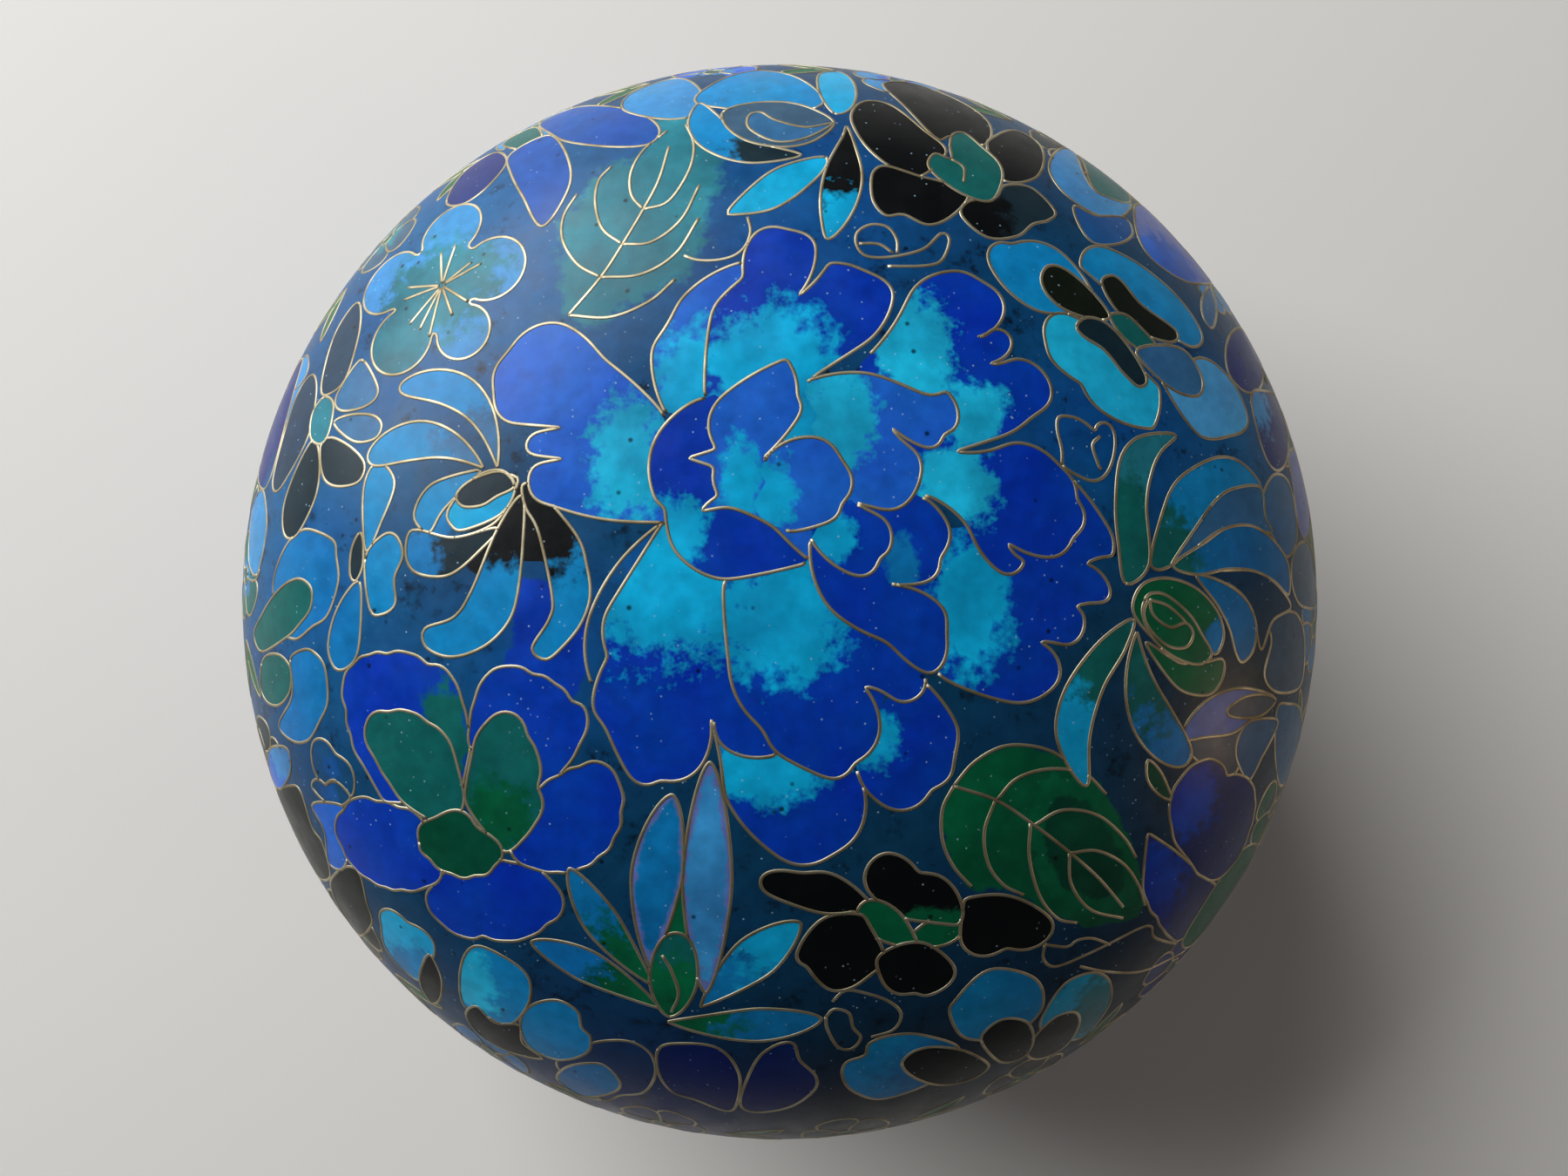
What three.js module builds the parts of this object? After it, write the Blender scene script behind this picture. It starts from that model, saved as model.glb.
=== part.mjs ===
// A round lidded box of cloisonne enamel on copper, in millimetres, +Z up.
// The origin is the centre of the foot ring's underside, on the surface that the box stands on.
// The box is a bun-shaped flattened ball cut in two at its widest. Each half is a copper shell with
// enamel fused to both sides and ends in a brass rim, the lower rim has an upright lip that the lid
// drops over, and the box stands on a low brass foot ring.
import * as THREE from "three";

// Driving dimensions
const enamelRadius = 60; // outside of the enamel at the rims
const crownRise = 34; // half height of the flattened ball, above or below a rim
const fullness = 2.3; // exponent of its outline: 2 is an ellipse, more is fuller at the shoulder
const wall = 2.4; // copper with enamel on both sides
const rimHeight = 3; // each of the two brass rims
const rimProud = 0.3; // how far a rim stands out of the enamel
const rimEdge = 0.35; // rounding on the rims' edges
const lipHeight = 4; // locating lip above the seam
const lipWall = 1.1;
const lipGap = 0.3; // play between the lip and the lid's rim
const footHeight = 4.5;
const footRadius = 34.8; // outside of the foot ring where it meets the bowl
const footFlare = 0.8; // how much wider the ring is at the bottom
const footWall = 2.6;
const footEdge = 0.4;

const turns = 72; // facets round each turned piece
const arcSteps = 10; // facets along a half's curved wall

// Places worked out from them
const innerRadius = enamelRadius - wall;
const innerRise = crownRise - wall;
const floorRadius = footRadius + 1.2; // edge of the bowl's flat underside
const bowlDepth = crownRise * (1 - (floorRadius / enamelRadius) ** fullness) ** (1 / fullness);
const bowlTop = footHeight + bowlDepth;
const seam = bowlTop + rimHeight;
const lidBottom = seam + rimHeight;
const rimRadius = enamelRadius + rimProud;
const lipRadius = innerRadius - lipGap;

const crown = Math.PI / 2; // angle of the outline's top

const point = (radius, height) => new THREE.Vector2(radius, height);

// Points along the bun's outline round (0, middle), between two angles in radians: 0 is the widest
// point, a right angle is the crown, and angles under 0 lie below the middle.
// (r / radius) ^ fullness + (h / rise) ^ fullness = 1
function bunOutline(radius, rise, middle, from, to) {
  return Array.from({ length: arcSteps + 1 }, (_, i) => {
    const angle = from + ((to - from) * i) / arcSteps;
    const across = Math.abs(angle) === crown ? 0 : Math.cos(angle) ** (2 / fullness);
    const up = Math.sign(angle) * Math.abs(Math.sin(angle)) ** (2 / fullness);
    return point(radius * across, middle + rise * up);
  });
}

// A piece turned about the Z axis from a profile of (radius, height) points.
function turned(name, profile, material) {
  const geometry = new THREE.LatheGeometry(profile, turns);
  geometry.rotateX(Math.PI / 2);
  const mesh = new THREE.Mesh(geometry, material);
  mesh.name = name;
  return mesh;
}

const blueEnamel = new THREE.MeshStandardMaterial({ color: 0x14588a, roughness: 0.32, metalness: 0 });
const giltBrass = new THREE.MeshStandardMaterial({ color: 0xb8924f, roughness: 0.35, metalness: 1 });

// Domed shell of the lid: the inside from its crown to the edge, the edge, then the outside
function lidDome() {
  const inside = bunOutline(innerRadius, innerRise, lidBottom, crown, 0);
  const outside = bunOutline(enamelRadius, crownRise, lidBottom, 0, crown);
  return turned("lid_dome", [...inside, ...outside], blueEnamel);
}

// Plain band soldered under the lid's edge
function lidRim() {
  return turned(
    "lid_rim",
    [
      point(innerRadius, seam),
      point(rimRadius - rimEdge, seam),
      point(rimRadius, seam + rimEdge),
      point(rimRadius, lidBottom - rimEdge),
      point(rimRadius - rimEdge, lidBottom),
      point(innerRadius, lidBottom),
      point(innerRadius, seam),
    ],
    giltBrass,
  );
}

// Bowl of the base: its floor is flat inside and out, over the foot ring
function baseBowl() {
  const floorTop = footHeight + wall;
  const undersideAngle = -Math.acos((floorRadius / enamelRadius) ** (fullness / 2));
  const floorAngle = -Math.asin(((bowlTop - floorTop) / innerRise) ** (fullness / 2));
  const outside = bunOutline(enamelRadius, crownRise, bowlTop, undersideAngle, 0);
  const inside = bunOutline(innerRadius, innerRise, bowlTop, 0, floorAngle);
  return turned(
    "base_bowl",
    [point(0, footHeight), ...outside, ...inside, point(0, floorTop)],
    blueEnamel,
  );
}

// Band on the bowl's mouth with the upright lip that centres the lid
function baseRim() {
  const lipInside = lipRadius - lipWall;
  return turned(
    "base_rim",
    [
      point(lipInside, bowlTop),
      point(rimRadius - rimEdge, bowlTop),
      point(rimRadius, bowlTop + rimEdge),
      point(rimRadius, seam - rimEdge),
      point(rimRadius - rimEdge, seam),
      point(lipRadius, seam),
      point(lipRadius, seam + lipHeight - rimEdge),
      point(lipRadius - rimEdge, seam + lipHeight),
      point(lipInside, seam + lipHeight),
      point(lipInside, bowlTop),
    ],
    giltBrass,
  );
}

// Foot ring soldered under the bowl's floor, a little wider at the bottom
function footRing() {
  const bottomRadius = footRadius + footFlare;
  const bottomInside = bottomRadius - footWall - footFlare / 2;
  return turned(
    "foot_ring",
    [
      point(bottomInside + footEdge, 0),
      point(bottomRadius - footEdge, 0),
      point(bottomRadius, footEdge),
      point(footRadius, footHeight),
      point(footRadius - footWall, footHeight),
      point(bottomInside, footEdge),
      point(bottomInside + footEdge, 0),
    ],
    giltBrass,
  );
}

const cloisonneBox = new THREE.Group();
cloisonneBox.add(footRing(), baseBowl(), baseRim(), lidRim(), lidDome());

export default cloisonneBox;
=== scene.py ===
# Round lidded box in cloisonne enamel, seen from straight above.
# Sizes are in mm and turned to metres at the mesh.
import bpy
import numpy as np
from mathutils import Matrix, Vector
from mathutils.geometry import delaunay_2d_cdt


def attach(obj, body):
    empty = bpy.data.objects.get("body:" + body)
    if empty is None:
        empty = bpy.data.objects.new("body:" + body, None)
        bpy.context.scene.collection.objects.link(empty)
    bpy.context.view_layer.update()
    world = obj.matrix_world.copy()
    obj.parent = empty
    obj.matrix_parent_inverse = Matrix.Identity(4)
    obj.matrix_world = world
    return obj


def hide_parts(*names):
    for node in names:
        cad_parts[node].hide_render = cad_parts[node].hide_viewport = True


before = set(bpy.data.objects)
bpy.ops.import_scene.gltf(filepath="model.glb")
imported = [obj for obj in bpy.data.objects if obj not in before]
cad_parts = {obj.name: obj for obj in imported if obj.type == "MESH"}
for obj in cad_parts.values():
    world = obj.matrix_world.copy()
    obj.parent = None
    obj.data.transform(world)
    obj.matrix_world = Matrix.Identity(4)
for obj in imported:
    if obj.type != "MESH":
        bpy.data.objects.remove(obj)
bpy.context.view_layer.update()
mm = 0.001

# The box's own sizes, as its solids have them
body = {
    "radius": 60.0,       # outside of the enamel at the rims
    "rise": 34.0,         # half height of the flattened ball
    "fullness": 2.3,      # exponent of its outline
    "wall": 2.4,          # copper with enamel on both sides
    "rimHeight": 3.0,     # each brass rim
    "footHeight": 4.5,
    "floorRadius": 36.0,  # edge of the bowl's flat underside
}
floorShare = body["floorRadius"] / body["radius"]
bowlDepth = body["rise"] * (1 - floorShare ** body["fullness"]) ** (1 / body["fullness"])
bowlTop = body["footHeight"] + bowlDepth
lidBottom = bowlTop + 2 * body["rimHeight"]


# Outline (r / radius)^n + (h / rise)^n = 1 from the pole to the widest point: length along it, r and h.
def bunOutline(radius, rise, count=6001):
    turn = np.linspace(0, np.pi / 2, count)
    r = radius * np.sin(turn) ** (2 / body["fullness"])
    h = rise * np.cos(turn) ** (2 / body["fullness"])
    s = np.concatenate([[0], np.cumsum(np.hypot(np.diff(r), np.diff(h)))])
    return s, r, h


skin = bunOutline(body["radius"], body["rise"])
rimReach = skin[0][-1]  # 77 mm from the pole to the rim, measured over the enamel
floorReach = np.interp(body["floorRadius"], skin[1], skin[0])


# The pattern is drawn flat and laid over the bun: a point at distance s from the pole goes s along the
# outline in the same direction, then lift along the surface's normal. half is 1 for the lid, -1 for the base.
def onBox(x, y, lift, half):
    s = np.hypot(x, y)
    r = np.interp(s, skin[0], skin[1])
    h = np.interp(s, skin[0], skin[2])
    power = body["fullness"] - 1
    outR = (r / body["radius"]) ** power / body["radius"]
    outH = (h / body["rise"]) ** power / body["rise"]
    size = np.hypot(outR, outH)
    far = r + lift * outR / size
    safe = np.maximum(s, 1e-9)
    z = h + lift * outH / size
    z = lidBottom + z if half > 0 else bowlTop - z
    return np.stack([far * x / safe, far * y / safe, z], axis=-1) * mm


# How the wires are drawn
step = 0.45      # mm between points along a wire
lobeWidth = 2.6  # mm along a scalloped edge
notch = 0.8      # radians: a sharper turn than this stays sharp


# Points from start up to, not including, end on a circular arc that bows sideways, to the right, by bow.
def arcPoints(start, end, bow):
    start = np.array(start, float)
    end = np.array(end, float)
    chord = np.hypot(*(end - start))
    if chord < 1e-6:
        return start[None]
    along = (end - start) / chord
    right = np.array([along[1], -along[0]])
    half = 2 * np.arctan2(2 * abs(bow), chord)
    length = chord if half < 1e-3 else chord * half / np.sin(half)
    count = max(1, int(np.ceil(length / step)))
    t = np.arange(count) / count
    if half < 1e-3:
        return start + np.outer(t * chord, along)
    radius = chord / (2 * np.sin(half))
    turn = (2 * t - 1) * half
    forward = chord / 2 + radius * np.sin(turn)
    aside = np.sign(bow) * radius * (np.cos(turn) - np.cos(half))
    return start + np.outer(forward, along) + np.outer(aside, right)


# Bent wire has no sharp corners: each point is drawn a little towards the middle of its neighbours.
def soften(points, closed, rounds=2):
    for _ in range(rounds):
        if closed:
            points = (np.roll(points, 1, 0) + 2 * points + np.roll(points, -1, 0)) / 4
        else:
            middle = (points[:-2] + 2 * points[1:-1] + points[2:]) / 4
            points = np.vstack([points[:1], middle, points[-1:]])
    return points


# Small lobes along an arc: each point moves to the right by depth * |sin(lobes * pi * t)|, where t is the
# share of the way.
def scallops(part, end, depth):
    line = np.vstack([part, end])
    lobes = max(1, round(len(part) * step / lobeWidth))
    along = np.gradient(line, axis=0)[:-1]
    right = np.stack([along[:, 1], -along[:, 0]], 1) / np.hypot(*along.T)[:, None]
    t = np.arange(len(part)) / len(part)
    return part + right * (depth * np.abs(np.sin(lobes * np.pi * t)))[:, None]


# The arcs of a closed outline. Each mark is x, y and how far the arc to the next mark bows outwards, times
# swell. Arcs that bow outwards carry lobes of the depth scallop.
def arcs(marks, swell, scallop=0.0):
    marks = np.nan_to_num(np.array(marks, float))
    x, y = marks[:, 0], marks[:, 1]
    area = np.sum(x * np.roll(y, -1) - np.roll(x, -1) * y)
    outwards = 1 if area > 0 else -1
    parts = []
    for a, b in zip(marks, np.roll(marks, -1, 0)):
        part = arcPoints(a[:2], b[:2], outwards * swell * a[2])
        parts.append(scallops(part, b[:2], outwards * scallop) if scallop and a[2] > .1 else part)
    return parts


# The arcs as one closed line. Where they meet at a slight angle the line is smoothed, and sharp notches stay.
def bent(marks, swell=1.0, scallop=0.0):
    points = np.vstack(arcs(marks, swell, scallop))
    before = points - np.roll(points, 1, 0)
    after = np.roll(points, -1, 0) - points
    cross = before[:, 0] * after[:, 1] - before[:, 1] * after[:, 0]
    turn = np.abs(np.arctan2(cross, (before * after).sum(1)))
    for _ in range(5):
        points = np.where((turn < notch)[:, None], soften(points, True, 1), points)
    return soften(points, True, 1)


# Which steps of a bent outline carry wire: where a mark's bow is None, no wire goes on to the next mark.
def wiredSteps(marks, swell=1.0):
    pairs = zip(arcs(marks, swell), marks)
    return np.concatenate([np.full(len(part), mark[2] is not None) for part, mark in pairs])


# A closed wire round a petal. Half its width is (1 - |2v - 1|^n)^(1/n) of the greatest, with v the share of
# the way to the power lean. Its middle line is a parabola that bows to the left by bow.
def petal(root, tip, width, bow=0.0, lean=1.3, rootRound=1.5, tipRound=2.2):
    root = np.array(root, float)
    tip = np.array(tip, float)
    length = np.hypot(*(tip - root))
    along = (tip - root) / length
    left = np.array([-along[1], along[0]])
    count = int(np.ceil(length / step))
    u = (1 - np.cos(np.linspace(0, np.pi, count + 1))) / 2
    v = u ** lean
    n = np.where(v < 0.5, rootRound, tipRound)
    half = width / 2 * (1 - np.abs(2 * v - 1) ** n) ** (1 / n)
    middle = root + np.outer(u * length, along) + np.outer(4 * bow * u * (1 - u), left)
    slope = 4 * bow * (1 - 2 * u) / length
    size = np.hypot(1, slope)
    aside = (left - np.outer(slope, along)) / size[:, None]
    side = middle + aside * half[:, None]
    back = middle - aside * half[:, None]
    return soften(np.vstack([side, back[-2:0:-1]]), True, 1)


# A smooth line through the middle points. It leaves each as a Catmull-Rom curve does, along its neighbours'
# chord.
def spline(p):
    parts = []
    for a, b, c, d in zip(p[:-3], p[1:-2], p[2:-1], p[3:]):
        count = max(2, int(np.ceil(np.hypot(*(c - b)) / step)))
        t = (np.arange(count) / count)[:, None]
        square = a - 2.5 * b + 2 * c - d / 2
        cube = 1.5 * (b - c) + (d - a) / 2
        parts.append(b + t * (c - a) / 2 + t**2 * square + t**3 * cube)
    return np.vstack(parts)


# An open smooth line through the marks.
def curve(marks):
    marks = np.array(marks, float)
    ends = 2 * marks[0] - marks[1], 2 * marks[-1] - marks[-2]
    return np.vstack([spline(np.vstack([ends[0], marks, ends[1]])), marks[-1:]])


# A closed smooth line through the marks.
def loop(marks):
    marks = np.array(marks, float)
    return spline(np.vstack([marks[-1:], marks, marks[:2]]))


# Which points lie in a ring: a line going right from the point crosses it an odd number of times.
def inside(x, y, ring):
    a = ring
    b = np.roll(ring, -1, 0)
    rise = np.where(a[:, 1] == b[:, 1], 1e-9, b[:, 1] - a[:, 1])
    result = np.zeros(len(x), bool)
    low, high = ring.min(0), ring.max(0)
    near = np.flatnonzero((x > low[0]) & (x < high[0]) & (y > low[1]) & (y < high[1]))
    if len(near) == 0:
        return result
    px, py = x[near, None], y[near, None]
    spans = (a[None, :, 1] > py) != (b[None, :, 1] > py)
    crossing = a[None, :, 0] + (py - a[None, :, 1]) / rise * (b[:, 0] - a[:, 0])
    result[near] = (spans & (px < crossing)).sum(1) % 2 == 1
    return result


glazes = {
    "cobalt": "#0034a0", "royal": "#185abc", "deep": "#021a58", "turquoise": "#089cca", "aqua": "#18a8ce",
    "azure": "#067cb4", "sky": "#3280b8", "lagoon": "#086aa4", "steel": "#2f628c", "slate": "#36546c",
    "ground": "#073858", "groundBlue": "#064884", "groundSky": "#0e5488", "sea": "#0a5854",
    "teal": "#1e707e", "pine": "#005a38", "moss": "#00442f", "ink": "#050708", "olive": "#0f150d",
    "dusk": "#11262f", "violet": "#1a2868", "lilac": "#5c6aa8", "mist": "#48525e", "iris": "#164a98",
    "paleSky": "#489cd2", "night": "#1e364c",
}
pattern = []  # cells and free wires, where a later cell lies over an earlier one


# A cell of one glaze, with patches of a second one: each wash is x, y, half width and half height.
def cell(ring, glaze, second=None, washes=(), wired=True):
    second = second or glaze
    pattern.append({"ring": ring, "glaze": glaze, "second": second, "washes": washes, "wired": wired})


# A wire on its own, that bounds no cell.
def wire(line):
    pattern.append({"line": line})


# Cells with smooth outlines, drawn in order. A row is a glaze, the marks and, for some, a second glaze and
# its washes.
def petals(rows):
    for glaze, marks, *more in rows:
        cell(loop(marks), glaze, *more)


# A patch of another glaze in the ground, with no wire round it, that fades out over soft mm.
def patch(marks, glaze, soft, base="ground"):
    ring = loop(marks)
    middle = ring.mean(0)
    around = middle + (ring - middle) * (1 + 3.2 * soft / np.ptp(ring, 0).min())
    cell(around, base, glaze, [{"ring": ring, "border": 0, "soft": soft}], False)


# A petal cell. The second glaze spreads round the point at `at` of the way from root to tip.
def drop(root, tip, width, glaze, bow=0.0, second=None, share=0.5, at=0.0, **form):
    root, tip = np.array(root, float), np.array(tip, float)
    length = np.hypot(*(tip - root))
    along = (tip - root) / length
    aside = np.array([-along[1], along[0]]) * 4 * bow * at * (1 - at)
    x, y = root + (tip - root) * at + aside
    reach = length * share
    washes = [(x, y, reach, reach)] if second else ()
    cell(petal(root, tip, width, bow, **form), glaze, second, washes)


# The large flower over the crown. Its petals are scalloped, blue with turquoise hearts.
def peony():
    cell(loop([(-9, 12), (-4, 18), (3, 19), (9, 18), (13, 12), (14, 4), (12, -4), (8, -10), (2, -12),
               (-3, -10), (-9, -4), (-11, 4)]), "cobalt", "turquoise", [(1, 13, 9, 6), (0, -1, 5, 5)], False)
    rows = [
        ("ground", "groundBlue", [(-12, 4, 3, 3)],
         [(-10.6, 6.9, .1), (-13.9, 4, .2), (-16.9, -1, .5), (-16.8, -7.4, None), (-14, 0, None)]),
        ("royal", "turquoise", [(-7.5, 19, 4.5, 6)],
         [(-10.2, 16.9, .4), (-11.6, 23.3, -.2), (-9.3, 27.4, .5), (-3.4, 31.4, None), (-2, 26, None),
          (-2, 18, None)]),
        ("cobalt", "turquoise", [(-0.8, 22, 5.5, 5.2)],
         [(-6.7, 18.4, .2), (-6.1, 26.9, .1), (-3.3, 29.8, .3), (-2.7, 33.9, .7), (.8, 34.7, .3),
          (3.4, 33.6, .5), (1.7, 27.9, -.2), (4.6, 31.3, .3), (8.1, 30.4, .3), (10.6, 28.6, .4),
          (8.2, 23.7, 0), (2.6, 19.9, None), (0, 14, None)]),
        ("cobalt", "turquoise", [(17, -.5, 3.6, 6.5)],
         [(14, -6.5, .3), (21.5, -9.2, .5), (25.6, -7, .6), (23.5, -3.6, -.2), (26, -4.1, .5),
          (27.9, -1.9, .3), (27, -.4, -.2), (29.8, -.2, .5), (30.2, 1.7, .3), (28, 3.5, -.2),
          (30.7, 4.2, .4), (30.2, 7, .2), (26, 12, None), (20, 8, None), (11, 5, None), (11, 0, None)]),
        ("cobalt", "aqua", [(12, 23, 3.8, 5), (17.4, 17, 3, 3.2), (15.5, 10.5, 3.6, 4)],
         [(6, 20, None), (8.2, 22.4, -.3), (12, 28.4, .4), (15.5, 30.8, .5), (19, 29.9, .5),
          (21.1, 27.5, .6), (18.1, 24.3, -.3), (19.6, 25.2, .6), (21.7, 23.9, .4), (19.2, 21.8, -.3),
          (21.4, 22.5, .9), (25.3, 19.3, .4), (23.3, 17.2, .3), (19.6, 14.8, 0), (15.8, 13.5, -.4),
          (21, 14.5, .6), (25.8, 12.2, .5), (27.2, 9.4, .9), (26.8, 5.9, .6), (24, 4, .2), (20.5, 5.3, -.3),
          (22.1, 3.7, .8), (19.4, 2.9, .3), (17, 6.6, -.3), (13, 9.6, None), (6, 9, None)]),
        ("royal", "aqua", [(-13.6, 12.6, 3.4, 5.4)],
         [(-10.2, 16.7, .2), (-16.1, 22.2, .3), (-20, 25.8, 1), (-25.3, 23.2, .7), (-26.4, 19.4, .5),
          (-25, 16.4, 0), (-19.7, 15.8, 0), (-22.6, 15.4, .1), (-23.2, 14.3, .3), (-22.4, 13.3, 0),
          (-19.5, 12.9, 0), (-22.3, 12.5, .2), (-22.8, 10.6, .5), (-20.8, 8.8, .3), (-13, 7.1, 0),
          (-9, 7, None)]),
        ("cobalt", "turquoise", [(-9.5, 2, 8.5, 7)],
         [(-10.3, 7.2, 0), (-15.6, -1.1, .3), (-15.3, -4.9, .2), (-16.8, -9, .3), (-15.7, -10.9, .1),
          (-13.5, -15.7, .6), (-10.7, -16, .5), (-7.1, -14.9, .4), (-6.1, -10.3, None), (-2, -12.4, None),
          (0, 2, None)]),
        ("cobalt", "turquoise", [(-1, -14.8, 5.5, 3.2)],
         [(-6.1, -10.5, -.2), (-5, -17.2, .4), (-.4, -22.8, .9), (4.8, -22.8, .6), (7.7, -19, .3),
          (6.9, -15.1, None), (2, -12, None)]),
        ("cobalt", None, [],
         [(-5.9, -10.6, .2), (-5.1, -12.9, .2), (-2.3, -13.9, .1), (-.2, -13.6, None), (-2, -9, None)]),
        ("cobalt", "turquoise", [(8.6, -12.6, 2.3, 2.4)],
         [(13.1, -7.3, .2), (16.1, -11.4, .1), (15.7, -13.8, 0), (15.6, -15.6, .2), (13.7, -16.9, 1.2),
          (8.8, -17.9, .3), (6.9, -15.1, None), (6, -10, None)]),
        ("cobalt", "turquoise", [(0, -1.5, 6, 5.6)],
         [(-5, 2, .1), (-4.5, -5.4, .7), (-1.4, -11.3, .1), (-.4, -13.4, .1), (4.6, -15.9, .4),
          (6.7, -14.4, .5), (9, -11.2, .3), (7.5, -7.5, -.3), (10.3, -8.9, .8), (13.2, -6.8, None),
          (7, 3, None), (0, 7, None)]),
        ("cobalt", None, [],
         [(9.9, 1.5, .5), (14.9, -.8, .1), (14.8, -2.9, .4), (14.2, -6.1, .2), (13.1, -6.5, .2),
          (9.6, -3.5, .3), (4.4, -.6, .5), (2.7, 5.5, None), (6, 5, None)]),
        ("cobalt", "lagoon", [(10.8, 3.8, 1.7, 2.3)],
         [(12.8, 9.5, .2), (15.3, 6.6, .3), (14.3, 3.9, .5), (13, 1.7, .1), (9.9, 1.5, None), (8, 4, None),
          (9, 9, None)]),
        ("cobalt", "turquoise", [(-9.3, 6, 2.8, 3.6)],
         [(-6.7, 18.4, .4), (-11, 14.9, .5), (-11.2, 9.5, .3), (-10.2, 8.4, .1), (-9.6, 4.9, .5),
          (-4.9, 1.9, .1), (2.4, 3.4, None), (2, 12, None), (-2, 18, None)]),
        ("royal", "aqua", [(5, 16.2, 3.9, 4.8)],
         [(2.4, 19.8, .3), (8.2, 20.6, .1), (13.2, 18.6, -.2), (15.1, 19.1, .3), (16.2, 16.6, .4),
          (14.8, 15.1, .3), (13.6, 13.6, .2), (10, 15.6, -.2), (12.3, 13.5, .3), (12.5, 10.8, .1),
          (11.6, 9, .5), (8.5, 8.4, 0), (6.9, 8.7, None), (4, 10, None)]),
        ("cobalt", "turquoise", [(4.3, 6, 2.2, 2.8)],
         [(6.9, 8.7, -.1), (9.2, 7.6, .4), (9.9, 4.8, .2), (8.9, 3.9, .4), (7.3, 2.1, .5), (2.7, 5.6, None),
          (5, 8, None)]),
        ("royal", "turquoise", [(-3.6, 11, 2, 3.6)],
         [(-1.5, 12.7, .2), (2.2, 17.3, .1), (1.6, 18.4, .3), (.65, 21.9, .2), (-4.7, 18.8, .2),
          (-6.3, 16.6, .3), (-5.6, 13.6, 0), (-8.2, 12.8, 0), (-5.8, 12, .3), (-5.4, 9.4, .2), (-7, 8, 0),
          (-4.6, 8.5, -.1), (-.4, 6.6, .1), (2.6, 3.7, None), (3, 10, None)]),
        ("royal", "turquoise", [(-1, 9.4, 2.6, 3.4)],
         [(-1.5, 12.6, .6), (3.4, 14.7, .4), (5.5, 12.5, .9), (5.5, 8.7, .4), (4.2, 7, .1), (.5, 6.1, None),
          (-2, 7.8, None)]),
    ]
    for glaze, second, washes, marks in rows:
        cell(bent(marks, 1.2), glaze, second, washes, wiredSteps(marks, 1.2))


# Lower left: five cobalt petals round three green ones and a cup.
def cupFlower():
    cell(bent([(-32.4, -26.2, .2), (-35, -29.6, .7), (-31, -33, .2), (-29, -32.5, .4), (-24.2, -32, .2),
               (-20.1, -28.6, .8), (-23.8, -24.5, 0), (-28, -24, 0)], scallop=.4), "cobalt")
    cell(bent([(-34.4, -20.5, .3), (-42, -19.5, .2), (-45.8, -23, .5), (-44, -27.6, .6), (-37.9, -28.8, .5),
               (-32.4, -26.2, 0), (-33, -23, 0)], scallop=.4), "cobalt")
    cell(bent([(-28.6, -13.8, .3), (-30.2, -7, .3), (-32.7, -5.9, .5), (-37.1, -5, .4), (-41, -6, .8),
               (-42.2, -10.5, .3), (-40.9, -15.5, 0), (-38.5, -19.5, 0), (-30, -19, 0)], scallop=.4),
         "cobalt", "sea", [(-31, -11.5, 2.4, 4)])
    cell(bent([(-28.5, -13.8, .5), (-26.7, -6.8, .7), (-22.3, -6.6, .5), (-18.7, -9, .3),
               (-17.2, -10.2, .7), (-21.8, -17.1, 0), (-25, -18, 0)], scallop=.4), "cobalt")
    cell(bent([(-21.7, -17, .4), (-16, -14.4, .7), (-14.4, -19, .5), (-16.6, -23.3, .4), (-20.5, -25, .2),
               (-24.9, -23.9, 0), (-26, -20, 0)], scallop=.4), "cobalt")
    cell(bent([(-29.3, -18.6, .1), (-30.3, -14, .4), (-32.9, -11.3, .5), (-37.1, -10.5, .5),
               (-40, -11.9, .4), (-39, -15, .2), (-35.5, -19.8, 0), (-31, -22, 0)], scallop=.3), "sea")
    cell(bent([(-29.5, -18.7, .1), (-28.2, -13.4, .5), (-24.9, -9.9, .4), (-22.9, -12.2, .3),
               (-21.8, -16, .1), (-22.1, -16.9, .1), (-21.5, -18.4, .4), (-25.6, -23.5, 0),
               (-28, -21, 0)], scallop=.3), "sea", "pine", [(-26, -20, 3.5, 3.5)])
    cell(bent([(-34.8, -23.2, .5), (-33, -20.8, .1), (-31.4, -19.8, .5), (-28.4, -21.1, .1),
               (-25.9, -22.6, .8), (-29, -26, .7), (-33.8, -24.8, .3)], scallop=.5), "moss")


# A cell with a border of one glaze, width mm wide, inside its wire and another glaze within it.
def bordered(ring, border, inner, width=.45):
    cell(ring, border, inner, [{"ring": ring, "border": width, "soft": .7}])


# Below the peony: a lily with pointed petals, lilac at the edges and green at the heart.
def lily():
    drop((-10.8, -40.6), (4, -39.9), 4, "lagoon", -.5, "pine", .45, tipRound=1.6)
    drop((-11.5, -39), (-23.8, -32.6), 3.8, "lagoon", -.6, "pine", .5, tipRound=1.5)
    drop((-11.8, -36.5), (-19.4, -24.6), 3.6, "lagoon", .5, "pine", .55, tipRound=1.5)
    drop((-7.5, -38.6), (1.9, -29.4), 4.4, "turquoise", .3, "lagoon", .5, tipRound=1.5)
    drop((-9.8, -38), (-9, -23.5), 3.6, "pine", lean=.9, tipRound=1.3)
    bordered(petal((-12.1, -34.5), (-9.6, -17.3), 4.7, .5, lean=1.2, tipRound=1.6), "lilac", "lagoon")
    bordered(petal((-7, -37), (-6.2, -14.3), 4.5, lean=1, tipRound=1.6), "lilac", "sky")
    drop((-10.6, -40), (-9.4, -30.6), 4.6, "sea", lean=.9, second="pine", share=.5, at=.3)
    wire(curve([(-10.4, -39.4), (-9.6, -37.2), (-10.2, -34.6), (-11, -33)]))


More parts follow.
